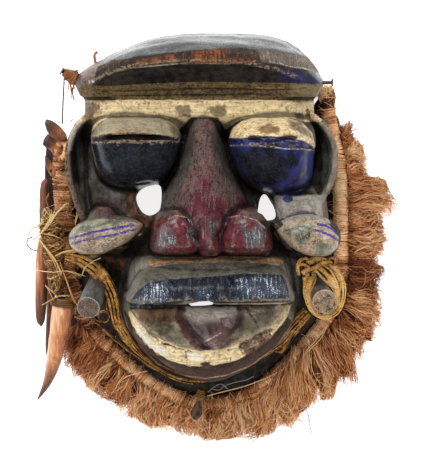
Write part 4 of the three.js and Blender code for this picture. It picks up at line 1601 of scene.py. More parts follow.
    @staticmethod
    def in_sight(mesh: bpy.types.Mesh, points: np.ndarray, normals: np.ndarray) -> np.ndarray:
        """How far each point faces the front, with nothing over it, from 0 to 1.

        Args:
            mesh: the carving's.
            points: its points.
            normals: their normals.

        Returns:
            The share at each point.
        """
        form = bmesh.new()
        form.from_mesh(mesh)
        tree = BVHTree.FromBMesh(form)
        form.free()
        eye = VIEW.eye()
        ahead = normalised(np.array(eye) - points)
        clear = ease(np.einsum("ij,ij->i", normals, ahead), -0.15, 0.05)
        for i in np.flatnonzero(clear):
            start = Vector(points[i] + (normals[i] * 2 + ahead[i]) * MM)
            if tree.ray_cast(start, ahead[i])[0] is not None:
                clear[i] = 0.0
        return clear

    def mark_paintwork(self, mesh: bpy.types.Mesh) -> None:
        """Stores on each point how far it lies inside each coat, and how ridged or sunk it is.

        Args:
            mesh: the carving's.
        """
        points = places_of(mesh)
        normals = normals_of(mesh)
        spot = VIEW.seen(points)
        around = Neighbours(mesh)
        facing = self.in_sight(mesh, points, normals)[:, None]
        for _ in range(2):
            facing = facing + 0.6 * around.lean(facing)
        facing = facing[:, 0]
        for coat in COATS:
            extent = coat.extent(spot)
            extent = np.where(points[:, 2] < coat.lowest, -COAT_REACH, extent)
            within = np.clip(extent, -COAT_REACH, COAT_REACH)
            store(mesh, coat.name, within * facing - COAT_REACH * (1 - facing))
        store(mesh, "hidden", ease(-normals[:, 2], 0.1, 0.45))
        bend = np.einsum("ij,ij->i", around.lean(points), normals)[:, None]
        for _ in range(3):
            bend = bend + 0.6 * around.lean(bend)
        kept = np.ones(len(points))
        for line in UNRUBBED:
            kept *= ease(to_line(spot, line), 2.0, 6.0)
        store(mesh, "ridge", np.clip(-bend[:, 0] / (0.12 * MM), -1, 1) * kept)
        broad = points.copy()
        for _ in range(30):
            broad += 0.6 * around.lean(broad)
        sunk = np.einsum("ij,ij->i", broad - points, normals)
        store(mesh, "sunk", np.clip(sunk / (1.2 * MM), -1, 1))


# The beard's fibre


@dataclass(frozen=True)
class Fibre:
    """The finish of a plant fibre, from its deepest shade to its palest."""

    name: str
    deep: str
    middle: str
    light: str
    pale: str
    rough: float = 0.6

    def material(self) -> bpy.types.Material:
        """Colours each strand by its shade, its layer and how far along it a point lies, with painted shade
        darkening the lower layers and the roots.

        Returns:
            The material.
        """
        shader = Shader(self.name)
        patches = shader.noise(0.016, 4) - 0.5
        streaks = shader.noise(0.0011, 2) - 0.5
        # lower layers and roots darker: painted shade inside the fringe
        tone = shader.data("shade") * 0.62 + shader.data("layer") * 0.24
        tone = tone + shader.data("along") * 0.14 + patches * 0.8 + streaks * 0.5
        stops = (0.06, self.deep), (0.38, self.middle), (0.7, self.light), (1.0, self.pale)
        colour = shader.ramp(tone, *stops)
        rough = shader.between(shader.data("shade"), self.rough + 0.1, self.rough - 0.12)
        return shader.finish(Base_Color=colour, Roughness=rough, Specular_IOR_Level=0.32)


BEARD_FIBRE = Fibre("beard_fibre", "26100a", "95502a", "dd9257", "f5cb98")


def rows_at(rows: np.ndarray, spots: np.ndarray) -> np.ndarray:
    """Values on a smooth curve through a table's rows, at places counted in rows.

    Args:
        rows: the table.
        spots: the places.

    Returns:
        A row for each place.
    """
    last = len(rows) - 1
    i = np.clip(np.floor(spots).astype(int), 0, last - 1)
    t = (spots - i)[:, None]
    return curved(rows[np.maximum(i - 1, 0)], rows[i], rows[i + 1], rows[np.minimum(i + 2, last)], t)


def folded_back(spots: np.ndarray, first: float, last: float) -> np.ndarray:
    """Places beyond the first or the last turned back inside, at half their distance."""
    spots = np.where(spots < first, first + (first - spots) * 0.5, spots)
    return np.where(spots > last, last - (spots - last) * 0.5, spots)


def slab(top: np.ndarray, foot: np.ndarray) -> tuple[np.ndarray, np.ndarray]:
    """A closed skin between an upper and a lower grid of points.

    Args:
        top: a by b by 3; a turns to b against the clock, seen from above.
        foot: the same below it.

    Returns:
        The points and the triangles.
    """
    a, b = top.shape[:2]
    points = np.concatenate([top.reshape(-1, 3), foot.reshape(-1, 3)])
    i, j = np.meshgrid(np.arange(a - 1), np.arange(b - 1), indexing="ij")
    p, q = i * b + j, (i + 1) * b + j
    upper = np.concatenate([np.stack([p, q, q + 1], -1), np.stack([p, q + 1, p + 1], -1)])
    upper = upper.reshape(-1, 3)
    edge = np.concatenate(
        [
            np.arange(a) * b,
            (a - 1) * b + np.arange(1, b),
            np.arange(a - 2, -1, -1) * b + b - 1,
            np.arange(b - 2, 0, -1),
        ]
    )
    onward = np.roll(edge, -1)
    wall = np.concatenate(
        [
            np.stack([edge, edge + a * b, onward + a * b], -1),
            np.stack([edge, onward + a * b, onward], -1),
        ]
    )
    return points, np.concatenate([upper, upper[:, ::-1] + a * b, wall])


# Beside the rope and on the outline, millimetres: x, y, x, y. Every second row parts two bunches.
BEARD_ROWS = """
    106,93,112,93 113,72,127,70 116,50,134,48 117,30,159,24 117.5,12,143,8 117.5,-8,152,-12
    117.5,-22,141,-26 117.5,-38,146,-44 116,-52,139,-63 113,-64.5,146,-84 105.5,-78,127,-108
    97.5,-88.5,117,-135 86.5,-100.5,98,-151 76,-112,76,-167 65,-123,58,-177 52,-136,42,-184
    36,-148.5,22,-178 8,-160,2,-183 -14,-160.5,-22,-180 -44,-149,-50,-178 -62,-138,-72,-166
    -84,-120.5,-103,-152 -100,-105,-119,-131 -114,-88.5,-133,-121 -123,-75,-134,-88
"""


@dataclass(frozen=True)
class Bunch:
    """How one bound bunch of the beard looks.

    Attributes:
        tone: how much lighter its strands are, partly their own colour and partly painted light and shade.
        lean: how far its tips turn along the rope, in rows of the table.
        curl: how strongly its strands wander, 1 being usual.
        matted: how much its strands cling together in tufts.
        over: how far its strands start over the rope, in their own lengths.
    """

    tone: float = 0.0
    lean: float = 0.0
    curl: float = 1.0
    matted: float = 0.5
    over: float = 0.1


# Tones partly paint light and shade: raised where a bunch hangs away from the light, lowered where the fringe
# lies in shadow
BUNCHES = (
    Bunch(0.1, 0.1, 1.3, 0.5, 0.2),
    Bunch(0.14, 0.2, 1.4, 0.6, 0.1),
    Bunch(0.1, 0.1, 1.5, 0.6, 0.1),
    Bunch(-0.6, 0.3, 1.6, 0.6, 0.12),
    Bunch(0, 0.1, 1.3, 0.4, 0.05),
    Bunch(0.16, 0.0, 1.0, 0.35, 0.08),
    Bunch(0.2, 0.2, 1.1, 0.4, 0.3),
    Bunch(0.3, 0.35, 1.4, 0.5, 0.55),
    Bunch(0.45, 0.3, 1.7, 0.6, 0.6),
    Bunch(0.36, -0.1, 1.7, 0.7, 0.3),
    Bunch(0.06, -0.2, 1.5, 0.8, 0.14),
    Bunch(-0.12, 0.3, 1.4, 0.9, 0.12),
)


@dataclass
class Beard:
    """The fringe of palm fibre bound along the rope, in twelve bunches."""

    strands_each: int = 880
    strays_each: int = 50
    tufts_each: int = 11
    steps: int = 7

    def __post_init__(self) -> None:
        """Lays out the rows in the row frame."""
        self.rows = np.asarray(rows_of(BEARD_ROWS)) * MM + np.array([0, TABLE_SHIFT] * 2)
        self.lattice = Lattice(41)
        self.material = BEARD_FIBRE.material()

    def build(self) -> None:
        """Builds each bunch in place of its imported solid."""
        for number, bunch in enumerate(BUNCHES):
            skin = Skin()
            self._shade_mat(skin, number)
            self._strands(skin, number, bunch)
            self._strays(skin, number, bunch)
            name = f"fibre_bunch_{number + 1:02d}"
            settle(skin.piece(name + "_strands"), self.material, "fibre", name)

    def _shade_mat(self, skin: Skin, number: int) -> None:
        """Adds a dark mat of fibre below the loose strands, painted shade that fills the gaps between them.

        Args:
            skin: what it is added to.
            number: which bunch it is, from 0.
        """
        wide, deep = 26, 12
        across, along = np.meshgrid(
            np.linspace(0.03, 1.97, wide), np.linspace(-0.12, 0.72, deep), indexing="ij"
        )
        values = rows_at(self.rows, 2 * number + across.ravel())
        share = along.ravel()
        flat = values[:, :2] + (values[:, 2:] - values[:, :2]) * share[:, None]
        spots = np.column_stack([flat, np.zeros(len(flat))])
        height = 0.0125 * np.clip(1 - share, 0, 1) + 0.003
        height *= 1 + 0.3 * self.lattice.smooth(spots, 0.007) * (0.4 + share)
        height *= 1 - 0.7 * ease(share, 0.5, 0.72)
        flat += 0.002 * share[:, None] * self.lattice.smooth(spots + 0.5, 0.006)[:, None]
        top = np.column_stack([flat, height]).reshape(wide, deep, 3)
        foot = top.copy()
        foot[..., 2] = 0.0007
        points, faces = slab(top, foot)
        # near black: painted shade between the strands
        skin.add(points, faces, shade=0.04, layer=0.0, along=0.2)

    def _strands(self, skin: Skin, number: int, bunch: Bunch) -> None:
        """Adds the tufts of loose strands.

        Args:
            skin: what they are added to.
            number: which bunch it is, from 0.
            bunch: how it looks.
        """
        random = np.random.default_rng(700 + number)
        count, tufts = self.strands_each, self.tufts_each
        middles = (np.arange(tufts) + 0.5 + random.uniform(-0.3, 0.3, tufts)) * 2 / tufts
        across = random.uniform(-0.05, 2.05, count)
        tuft = np.argmin(np.abs(across[:, None] + random.normal(0, 0.04, (count, 1)) - middles), axis=1)
        layer = random.uniform(0, 1, count) ** 0.8
        reach = random.uniform(0.84, 1.02, tufts)[tuft] * (1 - 0.22 * random.uniform(0, 1, count) ** 2)
        spread = random.uniform(0.5, 1.7, tufts)[tuft] * (1.3 - 0.7 * bunch.matted)
        turn = random.normal(0, 0.14, tufts)[tuft] + bunch.lean * 0.35
        tip_across = middles[tuft] + (across - middles[tuft]) * spread + turn
        tip_across += random.normal(0, 0.08, count) * bunch.curl
        tip_across = np.clip(tip_across, -0.12, 2.12)
        roots = rows_at(self.rows, folded_back(2 * number + across, 0.45, 23.7))[:, :2]
        ends = rows_at(self.rows, folded_back(2 * number + tip_across, 0.5, 23.55))
        tips = roots + (ends[:, 2:] - roots) * reach[:, None]
        run = tips - roots
        roots = roots - run * (bunch.over * random.uniform(0.2, 1.0, count) * layer)[:, None]
        run = tips - roots
        lift = random.uniform(0.3, 1.25, tufts)[tuft]
        t = np.linspace(0, 1, self.steps)[None, :]
        sideways = normalised(np.column_stack([-run[:, 1], run[:, 0]]))
        bend = random.normal(0, 0.006, tufts)[tuft] + random.normal(0, 0.003, count)
        curl = random.uniform(0.4, 2.9, count) * MM * bunch.curl
        turns = random.uniform(0.6, 2.2, count)
        phase = random.uniform(0, 2 * math.pi, count)
        wave = np.sin(2 * math.pi * turns[:, None] * t + phase[:, None]) - np.sin(phase)[:, None]
        wander = bend[:, None] * np.sin(math.pi * t * 0.8) + curl[:, None] * wave * t**0.7
        lines = np.empty((count, self.steps, 3))
        lines[..., :2] = roots[:, None] + run[:, None] * t[..., None] + sideways[:, None] * wander[..., None]
        high = (4 + 17 * layer) * MM
        low = (1.2 + 5.5 * layer * lift) * MM
        rise = (1.5 + 6.5 * layer * lift) * MM
        dip = np.cos(2 * math.pi * turns[:, None] * t + phase[:, None]) * curl[:, None] * 0.7 * t
        lines[..., 2] = high[:, None] * (1 - t) ** 1.3 + low[:, None] * t
        lines[..., 2] += rise[:, None] * np.sin(math.pi * t**0.8)
        lines[..., 2] += dip
        flat = lines.reshape(-1, 3)
        push = np.stack([self.lattice.smooth(flat + k, 0.011) for k in (0.0, 0.37, 0.71)], -1)
        fine = np.stack([self.lattice.smooth(flat + k, 0.0046) for k in (0.1, 0.47, 0.81)], -1)
        push = (push * 0.0036 + fine * 0.0018).reshape(count, self.steps, 3) * bunch.curl
        lines += push * (t[..., None] * (0.35 + 0.65 * t[..., None])) * (1, 1, 0.6)
        lines[..., 2] = np.maximum(lines[..., 2], 0.0009)
        thick = random.uniform(0.2, 0.42, count)[:, None] * MM * (1.05 - 0.55 * t**2)
        shade = 0.5 + 0.28 * random.normal(0, 1, count) + random.normal(0, 0.26, tufts)[tuft] + bunch.tone
        points, faces = strands(lines, thick)
        each = self.steps * 3 + 2
        along = np.concatenate([np.repeat(t[0], 3), [0, 1]])
        shade, layer = np.repeat(np.clip(shade, 0, 1.2), each), np.repeat(layer, each)
        skin.add(points, faces, shade=shade, layer=layer, along=np.tile(along, count))

    def _strays(self, skin: Skin, number: int, bunch: Bunch) -> None:
        """Adds the few pale strands that cross over the rest or stand out of the outline.

        Args:
            skin: what they are added to.
            number: which bunch it is, from 0.
            bunch: how it looks.
        """
        random = np.random.default_rng(900 + number)
        count, steps = self.strays_each, 13
        across = random.uniform(0.05, 1.95, count)
        values = rows_at(self.rows, 2 * number + across)
        starts = values[:, :2] + (values[:, 2:] - values[:, :2]) * random.uniform(0, 0.8, (count, 1))
        outward = normalised(values[:, 2:] - values[:, :2])
        angle = np.arctan2(outward[:, 1], outward[:, 0]) + random.normal(0, 0.75, count)
        room = np.linalg.norm(values[:, 2:] - starts, axis=1) + 0.0035
        length = np.minimum(random.uniform(0.014, 0.04, count), room)
        turn = random.normal(0, 1.6, count)
        lines = np.empty((count, steps, 3))
        spot = np.column_stack([starts, random.uniform(0.009, 0.019, count)])
        for i in range(steps):
            lines[:, i] = spot
            share = i / (steps - 1)
            heading = angle + turn * share + 0.5 * np.sin(7 * share + turn * 5)
            ahead = np.column_stack([np.cos(heading), np.sin(heading), np.full(count, -0.22) * share])
            spot = spot + ahead * (length / steps)[:, None]
        lines[..., 2] = np.maximum(lines[..., 2], 0.001)
        points, faces = strands(lines, np.full((count, steps), 0.27 * MM))
        shade = np.repeat(random.uniform(0.5, 1.0, count) + bunch.tone, steps * 3 + 2)
        skin.add(points, faces, shade=shade, layer=0.8, along=0.6)


# Rope, ties and stray fibres


@dataclass(frozen=True)
class Wisp:
    """One loose strand.

    Attributes:
        way: its bends, each across and down in the picture and millimetres above the floor.
        thick: its radius in millimetres.
        shade: from 0, dark, to 1, pale.
        fork: how many strands start together, spreading towards its end.
        grey: how much of its colour is the grey of old wire.
    """

    way: str
    thick: float = 0.35
    shade: float = 0.7
    fork: int = 1
    grey: float = 0.0

    def add_to(self, skin: Skin, random: np.random.Generator) -> None:
        """Adds its strands to a skin whose points carry shade, layer, along and grey.

        Args:
            skin: the skin.
            random: what its differences are drawn from.
        """
        rows = VIEW.through(self.way)
        steps = max(10, 5 * len(rows))
        line = curve_through(rows, steps)
        share = np.linspace(0, 1, steps)
        for _ in range(self.fork):
            drift = random.normal(0, 0.0022, 3) * (self.fork > 1)
            bent = line + drift * share[:, None] ** 1.5
            bent[:, 2] = np.maximum(bent[:, 2], 0.001)
            radii = np.full(steps, self.thick * MM * random.uniform(0.8, 1.2))
            points, faces = strands(bent[None], radii[None], 5)
            skin.add(points, faces, shade=self.shade, layer=0.9, along=0.5, grey=self.grey)


@dataclass
class Winding:
    """A thin cord wound round a core.

    Attributes:
        line: n by 3, the cord's middle.
        up: n by 3, away from the core.
        sections: n by k by 2.
        tone: how much lighter or darker each point of its sections is.
    """

    line: np.ndarray
    up: np.ndarray
    sections: np.ndarray
    tone: np.ndarray

    def add_to(self, skin: Skin, shade: Share, end: float = 0.4, **numbers: float) -> None:
        """Adds the cord to a skin.

        Args:
            skin: the skin.
            shade: how light it is, from 0 to 1, before its own tone.
            end: how light its cut ends are.
            **numbers: the skin's other numbers.
        """
        points, faces = sweep(self.line, self.sections, self.up)
        shades = np.append(np.clip(self.tone + shade, 0, 1), [end, end])
        skin.add(points, faces, shade=shades, **numbers)


def coils(line: np.ndarray, radii: np.ndarray, pitch: float, seed: int, cord: float) -> Winding:
    """The way of a thin cord wound round a core.

    Args:
        line: n by 3, the core's middle.
        radii: n, the core's radius.
        pitch: how far each turn advances, metres.
        seed: what its small differences grow from.
        cord: the cord's half-thickness, metres.

    Returns:
        The winding.
    """
    random = np.random.default_rng(seed)
    run = run_along(line)
    turns = max(int(run[-1] / pitch), 2)
    around = 11
    count = turns * around
    ends = np.arange(turns + 1)
    round_it = np.arange(count) / around
    jitter = np.interp(round_it, ends, random.normal(0, 0.2, turns + 1))
    at = np.clip((np.arange(count) / count + jitter / turns) * run[-1], 0, run[-1])
    middle = between_points(at, run, line)
    along = normalised(between_points(at, run, np.gradient(line, axis=0)))
    side = normalised(np.cross(along, (0, 0, 1.0)))
    above = np.cross(side, along)
    angle = 2 * math.pi * np.arange(count) / around
    outward = np.cos(angle)[:, None] * side + np.sin(angle)[:, None] * above
    thirds = np.arange(0, turns + 4, 3)
    lean = np.interp(round_it, thirds, random.normal(0, 0.3, len(thirds)))
    middle = middle + along * (np.cos(angle) * lean * pitch)[:, None]
    loose = np.interp(round_it, ends, random.uniform(0, 1, turns + 1))
    radius = np.interp(at, run, radii) + cord * (0.1 + 0.5 * loose)
    shades = np.interp(round_it, ends, random.normal(0, 0.12, turns + 1))
    sections = round_sections(np.full(count, pitch * 0.56), np.full(count, cord), 6)
    return Winding(middle + outward * radius[:, None], outward, sections, np.repeat(shades, 6))


# The rope round the rim, millimetres: x, y, radius, how light its wrapping is.
ROPE_ROWS = """
    -134,76,7,0.38 -134,48,8.5,0.42 -132,15,8.5,0.38 -131,-20,8.5,0.3 -127,-46,8,0.23 -118,-70,7.5,0.23
    -104,-91,7,0.28 -86,-109,6.5,0.48 -66,-126,6,0.58 -44,-141,6,0.58 -20,-151.5,6,0.43 2,-152.5,6,0.38
    20,-147.5,6,0.38 37,-138.5,6,0.58 51,-127,6,0.66 63,-115.5,6,0.76 74,-104,6,0.72 85,-92,6.5,0.66
    97,-77,7,0.54 106,-60,7,0.4 109.5,-38,7,0.5 109.5,-10,7,0.64 109,25,7,0.74 108,50,7,0.72 105,72,7,0.64
    99.5,92,6.5,0.56 97,106,6.5,0.56 97.5,118,7.4,0.56 97.5,127,4,0.56
"""

ROPE_WISPS = (
    Wisp("207,396,22 222,392,24 245,386,24 268,377,22 288,366,20", 0.55, 0.72),
    Wisp("325,327,23 316,340,23 305,352,22 297,364,20", 0.5, 0.8),
    Wisp("327,325,23 321,338,23 309,350,23 301,356,21", 0.4, 0.66),
    Wisp("208,392,32 214,387,34 221,384,35 228,389,33", 0.3, 0.8, 1, 0.9),
    Wisp("212,389,33 219,390,33 224,386,34 229,384,34", 0.28, 0.8, 1, 0.9),
    Wisp("226,385,30 236,382,31 246,380,31 254,376,30", 0.4, 1.0, 1, 0.75),
    Wisp("307,410,9 309,418,8 309,426,6 311,433,3", 0.22, 0.2, 3, 0.3),
    Wisp("383,228,12 389,232,11 393,240,9 394,247,6", 0.3, 0.3, 1, 0.8),
    Wisp("118,383,20 126,377,23 138,373,24 148,371,23", 0.45, 0.85),
    Wisp("75,118,22 71,122,25 69,128,25 66,133,24", 0.25, 0.9, 2, 0.5),
)


@dataclass(frozen=True)
class RopeFibre:
    """Old wound palm fibre, with the grey of the few wires caught in it."""

    stops: Stops = ((0.05, "21130b"), (0.32, "96582f"), (0.58, "eaab76"), (1.0, "fbdcae"))
    wire: str = "6f7c7e"
    rough: float = 0.64

    def material(self) -> bpy.types.Material:
        """Makes the material.

        Returns:
            The material.
        """
        shader = Shader("rope_fibre")
        patches = shader.noise(0.013, 4) - 0.5
        fine = shader.noise(0.0008, 2) - 0.5
        tone = shader.data("shade") * 1.1 + patches * 0.8 + fine * 0.9 - 0.03
        colour = shader.ramp(tone, *self.stops)
        colour = shader.mix(shader.data("grey"), colour, self.wire)
        return shader.finish(
            Base_Color=colour,
            Roughness=self.rough,
            Specular_IOR_Level=0.3,
            Normal=shader.bump(fine, 0.0004, 0.5),
        )


@dataclass
class Rope:
    """The fibre-wrapped rope bound round the rim, with its frayed upper ends."""

    height: float = 14 * MM
    pitch: float = 1.9 * MM
    fuzz: int = 620  # how many short fibres have worked loose
    frayed: int = 300  # how many strands its right end has
    eye: Place = (61.6, 149.8, 35 * MM)  # its upper left eye: across, down and height
    end_foot: str = "331,127,10 335,130,14"  # both sides of the frayed end's foot
    end_bend: str = "328.5,105,13"
    end_head: str = "324,88,14"

    def __post_init__(self) -> None:
        """Lays out the rope in the row frame."""
        rows = np.asarray(rows_of(ROPE_ROWS))
        table = np.column_stack([rows[:, 0], rows[:, 1], np.zeros(len(rows)), rows[:, 2], rows[:, 3]])
        table[:, :4] *= MM
        table[:, 1] += TABLE_SHIFT
        table[:, 2] = self.height
        self.way = curve_through(table, 460)
        self.random = np.random.default_rng(23)

    def build(self) -> None:
        """Builds the core, the wrapping, both ends and the strands that cross it."""
        skin = Skin()
        self._core(skin)
        self._wrapping(skin)
        self._fuzz(skin)
        self._left_eye(skin)
        self._right_end(skin)
        for wisp in ROPE_WISPS:
            wisp.add_to(skin, self.random)
        settle(skin.piece("wrapped_rope"), RopeFibre().material(), "rope", "rim_rope")

    def _core(self, skin: Skin) -> None:
        """Adds the bundle of fibre inside the wrapping, and a near-black mat under it, painted shade in the
        gap between the rope and the carving.

        Args:
            skin: what it is added to.
        """
        way = self.way[::2]
        radii = way[:, 3] * 0.86
        points, faces = sweep(way[:, :3], round_sections(radii, radii, 14))
        skin.add(points, faces, shade=0.1, layer=0.0, along=0.2, grey=0.0)
        # the mat: near black, painted shade between the rope and the carving
        lattice = Lattice(29)
        left = np.arange(len(way), dtype=float)[::-1]
        wide = np.maximum((way[:, 3] + 7.5 * MM) * ease(left, 0, 12), 3 * MM)
        middle = way[:, :3] * (1, 1, 0) + (0, 0, 4.2 * MM)
        middle[:, 0] -= 5 * MM * (1 - ease(left, 60, 90))
        sections = round_sections(wide, np.full(len(wide), 3.4 * MM), 20)
        points, faces = sweep(middle, sections)
        points[:, 2] += lattice.smooth(points, 0.004) * 0.7 * MM
        points[:, 2] = np.maximum(points[:, 2], 0.3 * MM)
        skin.add(points, faces, shade=0.02, layer=0.0, along=0.2, grey=0.0)

    def _wrapping(self, skin: Skin) -> None:
        """Adds the cord wound round the core.

        Args:
            skin: what it is added to.
        """
        bound = self.way[: int(0.97 * len(self.way))]
        made = coils(bound[:, :3], bound[:, 3] * 0.88, self.pitch, 31, 0.9 * MM)
        share = np.linspace(0, 1, len(made.line))
        tone = np.interp(share, np.linspace(0, 1, len(bound)), bound[:, 4])
        made.add_to(skin, np.repeat(tone, 6), layer=0.5, along=0.5, grey=0.0)

    def _fuzz(self, skin: Skin) -> None:
        """Adds short fibres that have worked loose from the wrapping.

        Args:
            skin: what they are added to.
        """
        count, steps = self.fuzz, 6
        at = self.random.integers(4, len(self.way) - 4, count)
        middle = self.way[at, :3]
        along = normalised(self.way[at + 3, :3] - self.way[at - 3, :3])
        side = np.cross(along, (0, 0, 1.0))
        angle = self.random.uniform(0.1, math.pi - 0.1, count)
        out = np.cos(angle)[:, None] * side + np.sin(angle)[:, None] * (0, 0, 1.0)
        start = middle + out * (self.way[at, 3:4] + 0.5 * MM)
        reach = self.random.uniform(0.003, 0.012, count)
        lean = self.random.normal(0, 0.8, count)
        curl = self.random.normal(0, 0.5, count)
        t = np.linspace(0, 1, steps)[None, :, None]
        turn = np.cross(out, along)
        lines = start[:, None] + reach[:, None, None] * (
            t * (turn * np.cos(lean)[:, None] + along * np.sin(lean)[:, None])[:, None]
            + t * t * curl[:, None, None] * out[:, None]
        )
        points, faces = strands(lines, np.full((count, steps), 0.2 * MM))
        shade = np.repeat(self.random.uniform(0.3, 0.9, count), steps * 3 + 2)
        skin.add(points, faces, shade=shade, layer=0.6, along=0.6, grey=0.0)

    def _left_eye(self, skin: Skin) -> None:
        """Adds the small bound eye at the rope's upper left end.

        Args:
            skin: what it is added to.
        """
        count = 40
        angle = np.linspace(0, 2 * math.pi, count, endpoint=False)
        middle = VIEW.at(*self.eye)
        line = np.column_stack(
            [
                middle.x + 4.0 * MM * np.cos(angle) + 0.9 * MM * np.sin(angle),
                middle.y + 7.2 * MM * np.sin(angle),
                np.full(count, self.eye[2]) + 1.4 * MM * np.cos(angle),
            ]
        )
        full = np.full(count, 2.1 * MM)
        points, faces = sweep(line, round_sections(full, full, 10), closed=True)
        skin.add(points, faces, shade=0.36, layer=0.3, along=0.4, grey=0.0)
        core = np.full(count + 1, 2.0 * MM)
        made = coils(np.vstack([line, line[:1]]), core, 1.9 * MM, 37, 0.55 * MM)
        made.add_to(skin, 0.46, layer=0.5, along=0.5, grey=0.0)

    def _right_end(self, skin: Skin) -> None:
        """Adds the frayed bundle at the rope's upper right end.

        Args:
            skin: what it is added to.
        """
        count, steps = self.frayed, 12
        foot = VIEW.through(self.end_foot).mean(0)
        bend, head = VIEW.through(self.end_bend)[0], VIEW.through(self.end_head)[0]
        t = np.linspace(0, 1, steps)[None, :, None]
        main = foot * (1 - t) ** 2 + 2 * bend * t * (1 - t) + head * t * t
        width = (3.4 + 3.4 * t**1.5) * MM
        ring = self.random.normal(0, 1, (count, 3))
        ring /= np.maximum(np.linalg.norm(ring, axis=1), 1.0)[:, None]
        wander = t * self.random.uniform(3, 9, (count, 1, 1)) + self.random.uniform(0, 6, (count, 1, 3))
        lines = main + width * ring[:, None] + np.sin(wander) * (0.4 + 1.7 * t**3) * MM
        lines[..., 1] = np.minimum(lines[..., 1], head[1] + 3 * MM * self.random.uniform(-1, 1, (count, 1)))
        lines[..., 2] = np.maximum(lines[..., 2], 1.2 * MM)
        points, faces = strands(lines, np.full((count, steps), 0.42 * MM))
        shade = np.repeat(self.random.uniform(0.4, 1.0, count), steps * 3 + 2)
        along = np.tile(np.append(np.repeat(t[0, :, 0], 3), [0, 1]), count)
        skin.add(points, faces, shade=shade, layer=0.5, along=along, grey=0.0)


# The knotted raffia over the claws, millimetres: x, y, z, half-width, half-thickness.
RAFFIA_ROWS = """
    -146,22,36,2,2 -144,14,37,6,5 -142,4,38,9,6.5 -139.5,-14,38,9,7 -139,-32,38,6.5,6 -136.5,-47,40,6,5
    -134,-54,42,3,3
"""

RAFFIA_WISPS = (
    Wisp("38,238,44 46,248,46 55,260,46 62,275,44", 0.5, 0.95, 4),
    Wisp("40,235,44 50,224,47 57,213,46 68,203,40", 0.42, 1.0, 4),
    Wisp("34,240,42 41,233,45 48,222,47 52,214,46", 0.42, 1.0, 3),
    Wisp("28,236,40 32,229,42 38,227,44 45,221,46", 0.45, 1.0, 2),
    Wisp("25,268,38 38,270,42 52,271,46 66,269,46 82,273,44", 0.32, 1.0, 2),
    Wisp("55,256,48 64,252,50 72,251,50 80,250,49", 0.55, 0.9, 3),
    Wisp("45,285,44 50,290,45 56,296,45", 0.4, 0.9, 2),
    Wisp("60,262,48 66,280,48 71,295,47 75,305,45", 0.4, 0.75, 2),
    Wisp("82,275,60 85,267,63 90,262,65 96,259,64", 0.5, 1.0, 2),
    Wisp("42,305,42 52,300,45 60,297,46 68,298,45", 0.4, 0.85, 2),
    Wisp("75,225,40 77,215,40 78,208,38", 0.5, 0.9, 2),
    Wisp("37,251,40 31,249,40 27,244,40 28,239,40 32,237,40", 0.5, 0.1, 1, 0.6),
    Wisp("48,206,40 46,200,40 49,196,40", 0.35, 0.6, 2),
)


@dataclass(frozen=True)
class Raffia:
    """Straw-coloured raffia, dark deep in the knot with dirt and painted shade."""

    stops: Stops = ((0.05, "3a2312"), (0.35, "80552a"), (0.65, "bb8b48"), (1.0, "ecd095"))
    dirt_and_shade: str = "3b3434"
    rough: float = 0.5

    def material(self) -> bpy.types.Material:
        """Makes the material.

        Returns:
            The material.
        """
        shader = Shader("raffia")
        patches = shader.noise(0.02, 3) - 0.5
        fine = shader.noise(0.001, 2) - 0.5
        tone = shader.data("shade") * 0.9 + patches * 0.4 + fine * 0.25
        colour = shader.ramp(tone, *self.stops)
        # strands marked grey take the dark dirt and shade colour
        colour = shader.mix(shader.data("grey"), colour, self.dirt_and_shade)
        return shader.finish(Base_Color=colour, Roughness=self.rough, Specular_IOR_Level=0.4)


